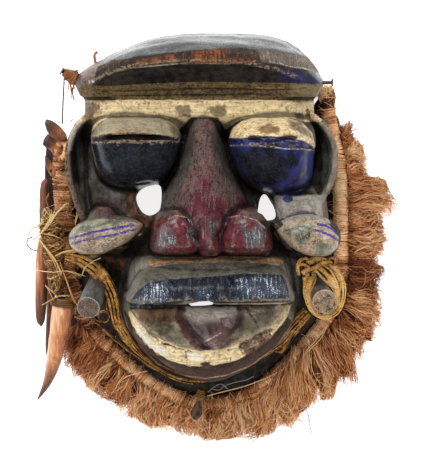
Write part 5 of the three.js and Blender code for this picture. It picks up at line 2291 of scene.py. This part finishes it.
@dataclass
class RaffiaTie:
    """The knotted raffia that holds the claws to the rope."""

    steps: int = 22
    tangled: int = 210  # how many strands wind about its middle line
    turns: int = 9  # round the top of the largest claw
    ring: Place = (61.5, 300, 37 * MM)  # the first turn: across, down and height

    def build(self) -> None:
        """Builds its tangled strands and the long ones that stand out."""
        random = np.random.default_rng(57)
        way = curve_through(laid(RAFFIA_ROWS), self.steps)
        skin = Skin()
        # the near-black core under the strands: painted shade deep in the knot
        points, faces = sweep(way[:, :3], round_sections(way[:, 3] * 0.75, way[:, 4] * 0.5, 10))
        skin.add(points, faces, shade=0.02, layer=0.0, along=0.3, grey=0.0)
        self._tangle(skin, random, way)
        self._ring(skin, random)
        for wisp in RAFFIA_WISPS:
            wisp.add_to(skin, random)
        settle(skin.piece("raffia_knot"), Raffia().material(), "raffia", "raffia_tie")

    def _tangle(self, skin: Skin, random: np.random.Generator, way: np.ndarray) -> None:
        """Adds strands that wind about the middle line.

        Args:
            skin: what they are added to.
            random: what they are drawn from.
            way: the knot's middle line, with its half-widths and half-thicknesses.
        """
        count, steps = self.tangled, self.steps
        share = np.linspace(0, 1, steps)
        angle = random.uniform(0, 2 * math.pi, count)
        winding = random.normal(0, 5.0, count)
        far = random.uniform(0.45, 1.12, count)
        start = random.uniform(0, 0.6, count)
        length = random.uniform(0.15, 0.45, count)
        places = np.clip(start[:, None] + length[:, None] * share[None], 0, 1)
        turned = angle[:, None] + winding[:, None] * share[None] * 1.4
        rows = between_points(places, share, way)
        lines = rows[..., :3].copy()
        lines[..., 0] += rows[..., 3] * far[:, None] * np.cos(turned)
        lines[..., 2] += rows[..., 4] * far[:, None] * np.sin(turned)
        lines[..., 1] += 0.0016 * np.sin(turned * 1.7 + far[:, None] * 9)
        radii = np.full((count, steps), 0.4 * MM) * random.uniform(0.6, 1.5, (count, 1))
        points, faces = strands(lines, radii, 4)
        shade = np.repeat(random.uniform(0.1, 0.95, count) ** 1.2, steps * 4 + 2)
        skin.add(points, faces, shade=shade, layer=0.6, along=0.5, grey=0.0)

    def _ring(self, skin: Skin, random: np.random.Generator) -> None:
        """Adds the turns tied round the top of the largest claw.

        Args:
            skin: what they are added to.
            random: what they are drawn from.
        """
        across, down, height = self.ring
        for turn in range(self.turns):
            angle = np.linspace(0, 2 * math.pi, 32, endpoint=False)
            middle = VIEW.at(across + 0.15 * turn, down + 0.75 * turn + random.normal(0, 0.4), height)
            wide, high = 9.9 * MM + random.normal(0, 0.2) * MM, 8.0 * MM
            tilt = random.normal(0.1, 0.06)
            line = np.column_stack(
                [
                    middle.x + wide * np.cos(angle),
                    middle.y - wide * np.cos(angle) * tilt,
                    height + high * np.sin(angle),
                ]
            )
            full = np.full(32, 0.62 * MM)
            points, faces = sweep(line, round_sections(full, full, 6), up=(0, 1, 0), closed=True)
            skin.add(points, faces, shade=random.uniform(0.1, 0.6), layer=0.3, along=0.3, grey=0.0)


# Cloth strip


@dataclass(frozen=True)
class Band:
    """One length of folded cloth.

    Attributes:
        way: across and down in the picture, then millimetres above the floor, half-width and
            half-thickness in millimetres.
        ridges: how many lengthwise folds show across it.
        closed: whether it joins its own start.
        shade: from 0, dark, to 1, pale.
        ribs: how strongly it is ribbed across, as where it is wound.
    """

    way: str
    ridges: float = 3.0
    closed: bool = False
    shade: float = 0.5
    ribs: float = 0.0

    def add_to(self, skin: Skin, lattice: Lattice, number: int) -> None:
        """Adds the band to a skin whose points carry shade, fold, across and run.

        Args:
            skin: the skin.
            lattice: what its creases are laid out by.
            number: which band of the strip it is.
        """
        rows = np.array(
            [[*VIEW.at(a, d, z * MM), wide * MM, high * MM] for a, d, z, wide, high in rows_of(self.way)]
        )
        length = np.linalg.norm(np.diff(rows[:, :3], axis=0), axis=1).sum()
        count = max(24, int(length / 0.0011))
        way = curve_through(rows, count, self.closed)
        around = 30
        angle = -np.arange(around) * 2 * math.pi / around
        run = np.linspace(0, length, count)
        c, s = np.cos(angle), np.sin(angle)
        across = np.sign(c) * np.abs(c) ** 0.85
        upper = np.sign(s) * np.abs(s) ** 0.7
        probe = np.column_stack([run, np.full(count, 0.013 * number), np.zeros(count)])
        wander = lattice.smooth(probe, 0.013) * 2.2
        swell = 1 + 0.1 * lattice.smooth(probe + 0.4, 0.007)
        wave = np.cos(math.pi * self.ridges * across[None, :] + wander[:, None])
        depth = (0.5 - 0.5 * wave) ** 2.2 * (np.abs(c) < 0.93)[None, :]
        depth = depth * (0.45 + 0.55 * np.clip(lattice.smooth(probe + 0.7, 0.009) + 0.4, 0, 1))[:, None]
        grid = np.stack(np.broadcast_arrays(run[:, None], across[None, :] * 0.006, 0.02 * number), -1)
        crumple = lattice.smooth(grid.reshape(-1, 3), (0.004, 0.0016, 1)).reshape(count, around)
        wide = way[:, 3, None] * swell[:, None] * across[None, :] * (1 + 0.04 * crumple)
        high = way[:, 4, None] * upper[None, :] * (1.12 - 0.62 * depth * (s > 0)[None, :])
        rib = np.sin(run * 2 * math.pi / 0.0019) * self.ribs
        high = high + way[:, 4, None] * (0.14 * crumple + 0.1 * rib[:, None]) * (s > 0)[None, :]
        points, faces = sweep(way[:, :3], np.stack([wide, high], -1), closed=self.closed)
        extra = [] if self.closed else [0.5, 0.5]
        # painted shade: darker deep in each crease and on the band's underside
        fold = np.append((depth * (s > 0)[None, :] + (s <= 0)[None, :] * 0.8).ravel(), extra)
        skin.add(
            points,
            faces,
            shade=self.shade,
            fold=np.clip(fold, 0, 1),
            across=np.append(np.tile(across, count), [0] * len(extra)),
            run=np.append(np.repeat(run, around), [0] * len(extra)),
        )


# From the left temple down the cheek, under the chin and up to the right peg.
STRAP = Band("""
    66,257,46,3.2,1.9 77,260,51,4.8,2.3 91,266,57,5.8,2.6 103,278,61,5.8,2.7 111,292,61.5,5.2,2.6
    114.5,307,60,4.6,2.5 118,322,57,4.5,2.5 126,337,52,4,2.4 137,350,47.5,2.8,2 149,361,44.5,1.5,1.4
    163,371,43.5,1.1,1.1 182,379,44.5,1.05,1.05 203,381,47,1.05,1.05 226,376.5,47.5,1.05,1.05
    248,366,47,1.1,1.1 264,355,46.5,1.3,1.2
""", 3.0, shade=0.45)
CHEEK_FOLDS = Band("""
    263,356,46.5,1.3,1.2 274,347,47,3.2,1.9 283,339,49,4.6,2.3 291,329,51.5,5.2,2.5 300,319,55,5.6,2.6
    308,311,59,4.6,2.4
""", 4.0, shade=0.36)
CHEEK_LOOP = Band(
    "274,350,45,1.2,1 281,351,45,1.8,1.2 287,344,46,2.2,1.4 294,333,48,2.4,1.6 303,322,52,2.4,1.6",
    1.0, shade=0.34,
)
PEG_LOOP = Band("""
    309.5,277,62,5.8,2.6 308.3,290,62,4.6,2.7 309.5,303,62,3.5,2.7 315,312.5,62,2.6,2.6 323,316.8,62,2.2,2.4
    332,315.5,62.5,2,2.4 339,308.5,63,2.2,2.5 342.6,298,64,2.6,2.6 342.8,287,64,2.8,2.6 339.5,277,64,3,2.6
    333.5,268.5,64,3.6,2.6 325,262.5,63.5,3.6,2.5 315,260.5,63,3.2,2.4 308,265.5,62.5,4,2.4
""", 2.0, closed=True, shade=0.72, ribs=0.5)
PEG_FOLD = Band("""
    305,262,65,2.2,1.8 312,264,67,3.6,2.2 320,269,68.5,5,2.5 328,276.5,69,5.2,2.6 334.5,286,68.5,3.8,2.4
    337.6,296,67,2.1,2 336.6,306,65,1.7,1.7 330.5,312.2,64,1.4,1.5 322.5,313.6,63.5,1.2,1.3
""", 2.0, shade=0.74)
PEG_CROSSING = Band(
    "303,273,64,2,1.6 308,270,67,2.6,1.8 316,266,70,2.8,1.8 323,263,69,2.4,1.7 330,261.5,66,1.8,1.5",
    1.0, shade=0.58,
)
LEFT_KNOT = (
    Band("""
        299.5,274,62,2,1.8 298.8,267,66,2.6,2.2 301,261,67.5,2.6,2.2 306,259.5,66.5,2.2,2 309,263,65,2,1.8
        306.5,268.5,65.5,2,1.8 303,273.5,64.5,1.9,1.8
    """, 1.0, shade=0.62),
    Band(
        "296.5,271,61,1.4,1.2 297.5,265,64,1.8,1.6 303,263.5,69.5,2,1.8 309,267,68,1.8,1.6",
        1.0, shade=0.5,
    ),
)
RIGHT_KNOT = (
    Band("""
        328,262,65,1.6,1.4 330.5,258.6,67,1.6,1.4 334.2,259.2,67,1.6,1.4 335,263,66,1.6,1.4
        332,266,65,1.6,1.4 329,265,65,1.6,1.4
    """, 1.0, closed=True, shade=0.4),
)
# A second, darker tie that runs from the left peg along the strap, with two small rings.
PEG_TIE = (
    Band("""
        92,318,50,0.9,0.9 103,329,47,1.2,1 116,340,45,1.3,1.1 130,351.5,43,1.2,1.1 146,363.5,42,1.1,1
        161,372.5,41.5,0.9,0.9 178,380.5,42.5,0.8,0.8 194,384,44,0.8,0.8
    """, 1.0, shade=0.3),
    Band("""
        98.5,316,52,0.9,0.9 101,311.6,54,0.9,0.9 106,311.6,54,0.9,0.9 109,316.4,52,0.9,0.9
        106.5,321.5,50,0.9,0.9 101,321,50,0.9,0.9
    """, 1.0, closed=True, shade=0.34),
    Band("""
        107,309.5,58,0.8,0.8 106.8,302,60,0.8,0.8 109.2,298.5,61,0.8,0.8 112,302.5,60,0.8,0.8
        111.2,310,58,0.8,0.8
    """, 1.0, closed=True, shade=0.26),
)


@dataclass(frozen=True)
class OchreCloth:
    """Ochre cloth, worn pale along its folds, with painted shade darkening the folds and its underside."""

    stops: Stops = ((0.0, "1a1008"), (0.2, "5c3c1b"), (0.45, "b8803c"), (0.7, "f0b662"), (1.0, "fddca0"))
    weave: float = 1.3 * MM

    def material(self) -> bpy.types.Material:
        """Makes the material.

        Returns:
            The material.
        """
        shader = Shader("ochre_cloth")
        # painted shade in the creases and under the band
        fold = shader.data("fold").step(0.2, 0.85)
        patches = shader.noise(0.009, 4) - 0.5
        threads = shader.noise(0.0009, 2) - 0.5
        wrinkles = shader.noise(0.0028, 4) - 0.5
        tone = shader.data("shade") + patches * 0.8 + threads * 0.9 + wrinkles * 0.85 - fold * 0.72 + 0.05
        colour = shader.ramp(tone, *self.stops)
        lines = shader.node(
            "ShaderNodeMath", {"operation": "SINE"}, {0: shader.data("run") * (2 * math.pi / self.weave)}
        )
        height = lines * 0.2 + threads + wrinkles
        return shader.finish(
            Base_Color=colour,
            Roughness=0.72,
            Specular_IOR_Level=0.25,
            Normal=shader.bump(height, 0.0016, 0.9),
        )


class ClothStrip:
    """The long ochre strip, tied round the right peg and under the chin."""

    def build(self) -> None:
        """Builds its straps, folds, knots and the thin tie beside it."""
        lattice = Lattice(77)
        skin = Skin()
        bands = (STRAP, CHEEK_FOLDS, CHEEK_LOOP, PEG_LOOP, PEG_FOLD, PEG_CROSSING)
        for number, band in enumerate(bands + LEFT_KNOT + RIGHT_KNOT + PEG_TIE):
            band.add_to(skin, lattice, number)
        settle(skin.piece("tied_cloth_strip"), OchreCloth().material(), "cloth", "cloth_strip")


# Pegs and nails


class Face(Enum):
    """How the cut end of a peg has weathered."""

    CHECKED = "grey-brown wood with fine cracks running out from the pith"
    PAINTED = "mottled pale wood with scraps of grey-blue paint"


@dataclass(frozen=True)
class PegWood:
    """Greyed wood on the side, and the weathered cut end."""

    name: str
    side: str
    face: Face

    def material(self) -> bpy.types.Material:
        """Makes the material.

        Returns:
            The material.
        """
        shader = Shader(self.name)
        end = shader.data("end")
        share = shader.data("share")
        patches = shader.noise(0.005, 5)
        fine = shader.noise(0.0009, 3)
        grain = shader.noise(0.009, 4, (0.5, 0.5, 3))
        side = shader.mix(grain.step(0.35, 0.65), self.side, "3a3531")
        side = shader.mix((fine - 0.52) * 3, side, "8d8578")
        if self.face is Face.CHECKED:
            face = shader.mix(patches.step(0.4, 0.62), "54443a", "6f5c4e")
            face = shader.mix(fine.step(0.56, 0.7), face, "a89382")
            marks = shader.noise(0.05, 2)
            spokes = shader.node(
                "ShaderNodeMath", {"operation": "SINE"}, {0: shader.data("turn") * 74.0 + marks * 30.0}
            )
            face = shader.mix(spokes.step(0.86, 1.0) * share.step(0.15, 0.5) * 0.7, face, "33231d")
        else:
            face = shader.mix(patches.step(0.4, 0.62), "94755a", "3d2e26")
            face = shader.mix(fine.step(0.54, 0.7), face, "ccb18c")
            face = shader.mix(shader.noise(0.007, 3).step(0.54, 0.66), face, "6c6a64")
        rim = share.step(0.86, 0.95)
        face = shader.mix(rim * (fine.step(0.35, 0.6)), face, "a9a49c")
        colour = shader.mix(end, side, face)
        rough = shader.between(end, 0.42, 0.62)
        return shader.finish(
            Base_Color=colour,
            Roughness=rough,
            Specular_IOR_Level=0.45,
            Normal=shader.bump(patches + fine, 0.0006, 0.6),
        )


@dataclass(frozen=True)
class Peg:
    """One round peg set in a cheek: its socket, its cut end and the radius at each, millimetres."""

    name: str
    ends: str
    foot_radius: float
    tip_radius: float
    face: Face
    side: str
    seed: int

    def build(self) -> None:
        """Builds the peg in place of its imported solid."""
        lattice = Lattice(self.seed)
        foot, tip = laid(self.ends)
        length = np.linalg.norm(tip - foot)
        around, rings = 64, 54
        body = np.linspace(0, 1, rings)
        radii = (self.foot_radius + (self.tip_radius - self.foot_radius) * body) * MM
        rim = np.array([0.25, 0.5, 0.62, 0.66, 0.68, 0.7, 0.72, 0.73, 0.74]) * MM
        shrink = np.array([0.985, 0.95, 0.9, 0.82, 0.7, 0.56, 0.42, 0.27, 0.12])
        along = np.concatenate([body * length, length + rim])
        radii = np.concatenate([radii, radii[-1] * shrink])
        line = foot + (tip - foot) * (along / length)[:, None]
        sections = round_sections(radii, radii, around)
        angle = np.arange(around) * 2 * math.pi / around
        a, r = np.meshgrid(along, angle, indexing="ij")
        probe = np.stack([np.cos(r) * 0.5, np.sin(r) * 0.5, a * 22], -1).reshape(-1, 3)
        whittled = lattice.smooth(probe, 0.28).reshape(a.shape)
        sections *= (1 + 0.035 * whittled)[..., None]
        points, faces = sweep(line, sections)
        axis = (tip - foot) / length
        share = np.append(np.repeat(np.concatenate([np.ones(rings), shrink]), around), [1.0, 0.0])
        end = np.append(np.repeat(along > length, around), [0.0, 1.0])
        rough = lattice.smooth(points, 0.0016) + 0.7 * lattice.smooth(points, 0.0007)
        points = points + axis * (rough * 0.00022 * end)[:, None]
        skin = Skin()
        skin.add(points, faces, end=end, share=share, turn=self._turn(points, foot, axis))
        material = PegWood(self.name + "_finish", self.side, self.face).material()
        settle(skin.piece(self.name + "_wood"), material, "peg_wood", self.name)

    def _turn(self, points: np.ndarray, foot: np.ndarray, axis: np.ndarray) -> np.ndarray:
        """The direction of each point round the peg, from -1 to 1.

        Args:
            points: n by 3.
            foot: a point on the peg's axis.
            axis: its direction.

        Returns:
            The direction of each.
        """
        from_axis = points - foot
        from_axis = from_axis - (from_axis @ axis)[:, None] * axis
        return np.arctan2(from_axis[:, 1], from_axis[:, 0]) / math.pi


PEGS = (
    Peg("left_peg", "-97.5,-30.5,17 -106,-56,95", 7.5, 9.8, Face.CHECKED, "5d6466", 51),
    Peg("right_peg", "88,-47,16 90,-51,95", 8.0, 10.0, Face.PAINTED, "5c5a57", 53),
)


@dataclass(frozen=True)
class ForgedIron:
    """Dark forged iron with rust."""

    iron: str = "3b3a3b"
    rust: tuple[str, str] = ("5b3b2a", "a07a64")

    def material(self) -> bpy.types.Material:
        """Makes the material.

        Returns:
            The material.
        """
        shader = Shader("forged_iron")
        patches = shader.noise(0.0022, 4)
        more = shader.data("rust")
        rust = (patches + more).step(0.48, 0.62)
        colour = shader.mix(rust, self.iron, shader.mix(more * 3, *self.rust))
        return shader.finish(
            Base_Color=colour,
            Metallic=shader.between(rust, 0.7, 0.1),
            Roughness=shader.between(rust, 0.42, 0.8),
            Normal=shader.bump(patches, 0.0004, 0.7),
        )


@dataclass(frozen=True)
class Nail:
    """One forged nail: its bends from point to head, its head's radius, millimetres, and its rust."""

    name: str
    bends: str
    head_radius: float
    shaft: float = 1.4
    head_height: float = 1.6
    rust: float = 0.0

    def build(self, material: bpy.types.Material) -> None:
        """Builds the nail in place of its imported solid.

        Args:
            material: its iron.
        """
        count = 26
        line = curve_through(laid(self.bends), count)
        ahead = normalised(line[-1] - line[-2])
        rises = np.array([-1.5, -1.3, -1.0, -0.5, -0.15, 0.0]) * self.head_height / 1.6 * MM
        line = np.vstack([line[: count - 3], line[-1] + rises[:, None] * ahead])
        thick = np.full(len(line), self.shaft * MM)
        thick[:4] *= np.array([0.35, 0.6, 0.8, 0.95])
        thick[-5:] = np.array([0.9, 1.0, 1.0, 0.86, 0.5]) * self.head_radius * MM
        around = 18
        lattice = Lattice(len(self.name))
        sections = round_sections(thick, thick, around)
        grid = np.stack(np.meshgrid(np.arange(len(line)), np.arange(around), [0.0], indexing="ij"), -1)
        dents = lattice.smooth(grid.reshape(-1, 3), 2.6).reshape(len(line), around)
        sections *= (1 + 0.13 * dents)[..., None]
        points, faces = sweep(line, sections, up=(0.3, 0.2, 0.93))
        skin = Skin()
        skin.add(points, faces, rust=self.rust)
        settle(skin.piece(self.name + "_iron"), material, "iron", self.name)


NAILS = (
    Nail("left_nail", "-100,121,54 -112,128.8,56.6 -130,140,60", 3.6),
    Nail("right_nail", "76,129,56 88,129.8,58 98.5,130,60", 3.3),
    Nail(
        "crown_nail", "-101,139,42 -103.2,151,42.2 -102.9,154.3,42.2 -100.6,156,42", 1.3, 1.2, rust=0.3
    ),
)


NAIL_WISPS = (
    Wisp("66,72,62 69,78,62 71,84,60 73,92,56", 0.4, 0.5, 5),
    Wisp("72,76,62 74,84,60 72,90,57 73,97,54", 0.4, 0.4, 4),
    Wisp("62,70,61 66,69,63 72,71,62 78,70,58", 0.5, 0.65, 4),
)


NAIL_FIBRE = Fibre("nail_fibre", "1c0d07", "6a3f22", "a56d3f", "d9ab78")


@dataclass
class NailBinding:
    """The fibre wound round the left nail, along a way in millimetres."""

    way: str = "-127.5,138.4,59.4 -122,135.2,58.4 -116,131.6,57.2"
    layers: int = 4
    count: int = 20

    def build(self) -> None:
        """Builds the wound strands and the ends that hang from them."""
        random = np.random.default_rng(61)
        core = curve_through(laid(self.way), self.count)
        skin = Skin()
        run = np.linspace(0, 1, self.count)
        thick = np.interp(run, [0, 0.3, 0.75, 1], [2.0, 3.5, 4.2, 2.2]) * MM
        points, faces = sweep(core, round_sections(thick, thick, 12))
        skin.add(points, faces, shade=0.2, layer=0.1, along=0.2, grey=0.0)
        for layer in range(self.layers):
            wound = core if layer % 2 else core[::-1]
            made = coils(wound, thick * (0.95 + 0.1 * layer), 2.2 * MM, 90 + layer, 0.6 * MM)
            made.add_to(skin, 0.28 + 0.08 * layer, layer=0.4, along=0.4, grey=0.0)
        for wisp in NAIL_WISPS:
            wisp.add_to(skin, random)
        settle(skin.piece("nail_fibre"), NAIL_FIBRE.material(), "fibre", "nail_wrap")


@dataclass(frozen=True)
class DarkString:
    """Dark twisted string."""

    dark: str = "2d2626"
    light: str = "776a62"

    def material(self) -> bpy.types.Material:
        """Makes the material.

        Returns:
            The material.
        """
        shader = Shader("dark_string")
        colour = shader.mix(shader.noise(0.003, 3), self.dark, self.light)
        return shader.finish(Base_Color=colour, Roughness=0.75)


@dataclass
class NailString:
    """The twisted string from the left nail to the uppermost claw, along a way in millimetres."""

    way: str = "-127.4,136,60 -128.4,124,57 -129.6,110,52 -130.6,95,46"
    twists: int = 17
    ply: float = 0.4 * MM
    offset: float = 0.36 * MM
    count: int = 150

    def build(self) -> None:
        """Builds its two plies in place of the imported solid."""
        line = curve_through(laid(self.way), self.count)
        run = np.linspace(0, 1, self.count)
        thick = np.full(self.count, self.ply)
        skin = Skin()
        for ply in range(2):
            angle = 2 * math.pi * run * self.twists + ply * math.pi
            spiral = np.stack([np.cos(angle), np.zeros(self.count), np.sin(angle)], 1)
            points, faces = sweep(line + spiral * self.offset, round_sections(thick, thick, 7))
            skin.add(points, faces)
        settle(skin.piece("hanging_string"), DarkString().material(), "string", "nail_string")


# Claws and pendant


@dataclass(frozen=True)
class ClawWood:
    """Bare reddish wood, handled smooth, with grain along each claw, and each claw painted lighter on one
    side and darker on the other as light and shade.
    """

    stops: Stops = ((0.0, "2f1d16"), (0.3, "79452f"), (0.6, "b5734d"), (0.85, "db9f70"), (1.0, "eec49c"))
    tip: str = "5a4638"

    def material(self) -> bpy.types.Material:
        """Makes the material.

        Returns:
            The material.
        """
        shader = Shader("claw_wood")
        grain = shader.noise(0.0016, 4, (1, 11, 1))
        patches = shader.noise(0.012, 4, (1, 2, 1)) - 0.5
        tip = shader.data("along").step(0.42, 0.9)
        tone = shader.data("tone") + (grain - 0.5) * 0.8 + patches * 0.55 - tip * 0.5
        # one side of each claw lighter, the other darker: painted light and shade
        tone = tone + shader.data("beside") * 0.24
        colour = shader.ramp(tone, *self.stops)
        colour = shader.mix(tip * 0.55, colour, self.tip)
        return shader.finish(
            Base_Color=colour,
            Roughness=shader.between(grain, 0.36, 0.56),
            Specular_IOR_Level=0.45,
            Normal=shader.bump(grain, 0.0006, 0.45),
        )


@dataclass(frozen=True)
class Claw:
    """One carved claw.

    Attributes:
        table: x, y, z, half-width and half-thickness along it, millimetres.
        tone: how light its wood is, from 0 to 1.
        facets: how many flat cuts of the knife go round it.
        holes: x, y and radius of each hole drilled down through it, millimetres.
    """

    table: str
    tone: float
    facets: int = 5
    holes: str = ""

    def build(self, number: int, material: bpy.types.Material) -> None:
        """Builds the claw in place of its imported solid.

        Args:
            number: which claw it is, from 1.
            material: its wood.
        """
        lattice = Lattice(300 + number)
        table = laid(self.table)
        length = np.linalg.norm(np.diff(table[:, :3], axis=0), axis=1).sum()
        count = int(length / 0.0009) + 12
        way = curve_through(table, count)
        way[:, 3:] = np.maximum(way[:, 3:], 0.4 * MM)
        ends = ease(np.arange(count, dtype=float), -2, 5) * ease(np.arange(count, dtype=float)[::-1], -2, 4)
        around = 32
        sections = round_sections(way[:, 3] * (0.4 + 0.6 * ends), way[:, 4] * (0.4 + 0.6 * ends), around)
        angle = np.arange(around) * 2 * math.pi / around
        run, round_it = np.meshgrid(np.linspace(0, 1, count), angle, indexing="ij")
        probe = np.stack([np.cos(round_it), np.sin(round_it), run * 5 + number], -1).reshape(-1, 3)
        drift = lattice.smooth(probe, 1.4).reshape(run.shape)
        flat = np.abs(np.cos((round_it + 0.35 * drift) * self.facets / 2))
        grain = lattice.smooth(probe * (3, 3, 1), 0.34).reshape(run.shape)
        sections *= (0.94 + 0.09 * flat + 0.03 * drift + 0.02 * grain)[..., None]
        points, faces = sweep(way[:, :3], sections)
        skin = Skin()
        along = np.append(np.repeat(np.linspace(0, 1, count), around), [0, 1])
        # from 1 on one side to -1 on the other, for painted light and shade
        beside = np.append(np.tile(np.cos(angle), count), [0, 0])
        skin.add(points, faces, tone=self.tone, along=along, beside=beside)
        name = f"claw_{number:02d}"
        piece = skin.piece(name + "_wood")
        if self.holes:
            for hole in laid(self.holes):
                self._drill(piece, *hole)
            crease_by_angle(piece)
        settle(piece, material, "claw_wood", name)

    def _drill(self, piece: bpy.types.Object, x: float, y: float, radius: float) -> None:
        """Drills a hole down through the claw.

        Args:
            piece: the claw.
            x: where, metres.
            y: where, metres.
            radius: metres.
        """
        bpy.ops.mesh.primitive_cylinder_add(vertices=18, radius=radius, depth=0.1, location=(x, y, 0.05))
        drill = bpy.context.object
        with_modifier(piece, "BOOLEAN", object=drill, operation="DIFFERENCE", solver="EXACT")
        bpy.data.objects.remove(drill, do_unlink=True)


CLAWS = (
    Claw(
        """
            -128,81,37,2.6,2.6 -132,84,39,4.6,4 -138,89.5,42,5.6,4.4
            -142.6,95.5,44.2,3.6,2.8 -144.4,98.6,45,1.4,1.5
        """,
        0.42, 4,
    ),
    Claw(
        """
            -137.4,67,28,1.6,2 -138.4,71,29.5,3.2,3 -140,77,32,6.2,3.2
            -145,81.8,33.6,5.9,2.7 -146.6,83,34,5.2,2.4
        """,
        0.5, 4,
    ),
    Claw(
        "-140,49,30,1.8,2 -141.2,54,32,3.2,3 -144,61,34,2.7,2.3 -146.5,67,35,0.8,1",
        0.56, 3, "-141.6,54.5,1.2",
    ),
    Claw(
        "-146.5,47,23.5,3.6,3 -147.3,38,23.5,5,4 -148,20,23.5,5,4 -149,2,23.5,4,3.5",
        0.2, 5, "-145.6,27.5,1.25 -146,22,1.1",
    ),
    Claw("-150,-2,24,3,3 -151,-20,24,5,4 -152,-50,23,5.2,4 -153,-74,22,4,3 -152.6,-82,21.5,1.4,1.4", 0.55, 4),
    Claw(
        """
            -143.4,0,15,2,2.5 -144,-30,15,3.2,3.4 -145,-70,14,3.4,3.4
            -147,-98,13,2.8,2.8 -148.5,-110,12.5,0.8,0.8
        """,
        0.4, 4,
    ),
    Claw(
        """
            -131.5,-57,37,8,6 -132.5,-66,36.5,9.2,7.5 -136,-86,34.5,8.2,7 -141,-110,30,6.4,6
            -147,-130,22,4,4 -157,-148.5,12,0.7,0.7
        """,
        0.76, 5,
    ),
)


@dataclass(frozen=True)
class TiedWood:
    """Dark polished wood, and the brown fibre of its tie."""

    wood: tuple[str, str] = ("2c211c", "5e4937")
    fibre: tuple[str, str] = ("3d2512", "a3713c")

    def material(self) -> bpy.types.Material:
        """Makes the material.

        Returns:
            The material.
        """
        shader = Shader("pendant_wood")
        patches = shader.noise(0.003, 4, (1, 2, 1))
        wood = shader.mix(patches.step(0.4, 0.65), *self.wood)
        fibre = shader.mix(shader.data("shade"), *self.fibre)
        colour = shader.mix(shader.data("tied"), wood, fibre)
        return shader.finish(
            Base_Color=colour,
            Roughness=shader.between(shader.data("tied"), 0.5, 0.7),
            Specular_IOR_Level=0.12,
            Normal=shader.bump(patches, 0.0005, 0.5),
        )


@dataclass
class Pendant:
    """The small dark drop that hangs under the chin by a wound tie.

    Attributes:
        table: x, y, z, half-width and half-thickness down it, millimetres.
        tied: how many of its rings the tie covers.
    """

    table: str = """
        -13,-135,40,2.2,2 -13.5,-140,38,3.4,3 -14.5,-145,35,2,2 -16,-152,32,4,3
        -17.5,-158.5,31,4.8,3.4 -18,-162.5,30.5,2,1.8
    """
    tied: int = 21

    def build(self) -> None:
        """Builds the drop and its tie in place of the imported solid."""
        way = curve_through(laid(self.table), 60)
        sections = round_sections(way[:, 3], way[:, 4], 28)
        points, faces = sweep(way[:, :3], sections)
        out = normalised(points - way[:, :3].mean(0))
        points = points + out * (0.00025 * Lattice(88).smooth(points, 0.003))[:, None]
        skin = Skin()
        skin.add(points, faces, tied=0.0, shade=0.3)
        made = coils(way[: self.tied, :3], way[: self.tied, 3] * 0.95, 1.5 * MM, 5, 0.6 * MM)
        made.add_to(skin, 0.5, end=0.5, tied=1.0)
        settle(skin.piece("chin_drop"), TiedWood().material(), "pendant_wood", "chin_pendant")


# Floor, light and the order of work


@dataclass(frozen=True)
class Lamp:
    """One soft light: its place, size in metres, power in watts, and whether gloss mirrors it."""

    name: str
    place: Place
    size: tuple[float, float]
    power: float
    mirrored: bool = True


@dataclass
class Studio:
    """A pale floor and soft light from above the crown."""

    floor_size: float = 9.0
    room_light: float = 0.24
    aim: Place = (0, 0, 0.05)
    lamps: tuple[Lamp, ...] = (
        Lamp("crown_softbox", (-0.2, 1.15, 1.15), (1.1, 0.6), 18.0),
        Lamp("left_softbox", (-1.25, 0.3, 1.2), (0.5, 0.9), 10.0),
        Lamp("right_softbox", (1.3, 0.25, 1.3), (0.5, 0.8), 8.0),
        Lamp("foot_softbox", (0.1, -1.2, 0.75), (1.1, 0.5), 8.0, mirrored=False),
    )

    def build(self) -> None:
        """Makes the floor, the lamps and the surrounding light."""
        bpy.ops.mesh.primitive_plane_add(size=self.floor_size)
        floor = bpy.context.object
        floor.name = "floor"
        shader = Shader("pale_floor")
        floor.data.materials.append(
            shader.finish(
                Base_Color=(0.9, 0.9, 0.9, 1.0),
                Roughness=0.9,
                Emission_Color=(1.0, 1.0, 1.0, 1.0),
                Emission_Strength=0.82,
            )
        )
        for lamp in self.lamps:
            data = bpy.data.lights.new(lamp.name, "AREA")
            data.shape = "RECTANGLE"
            data.size, data.size_y = lamp.size
            data.energy = lamp.power
            made = bpy.data.objects.new(lamp.name, data)
            bpy.context.scene.collection.objects.link(made)
            made.location = lamp.place
            made.visible_glossy = lamp.mirrored
            aim = Vector(self.aim) - made.location
            made.rotation_euler = aim.to_track_quat("-Z", "Y").to_euler()
        world = bpy.data.worlds.new("room")
        world.use_nodes = True
        world.node_tree.nodes["Background"].inputs["Color"].default_value = (1, 1, 1, 1)
        world.node_tree.nodes["Background"].inputs["Strength"].default_value = self.room_light
        bpy.context.scene.world = world
        bpy.context.scene.view_settings.view_transform = "Standard"


def main() -> None:
    """Sets the camera, floor and lights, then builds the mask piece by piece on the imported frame."""
    logging.basicConfig(level=logging.INFO, format="%(name)s: %(message)s")
    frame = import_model()
    VIEW.camera()
    Studio().build()

    Carving().build(frame["nodes"]["carved_mask"])
    Beard().build()
    Rope().build()
    RaffiaTie().build()
    ClothStrip().build()
    for peg in PEGS:
        peg.build()
    iron = ForgedIron().material()
    for nail in NAILS:
        nail.build(iron)
    NailBinding().build()
    NailString().build()
    wood = ClawWood().material()
    for number, claw in enumerate(CLAWS, 1):
        claw.build(number, wood)
    Pendant().build()
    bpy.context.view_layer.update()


if __name__ == "__main__":
    main()
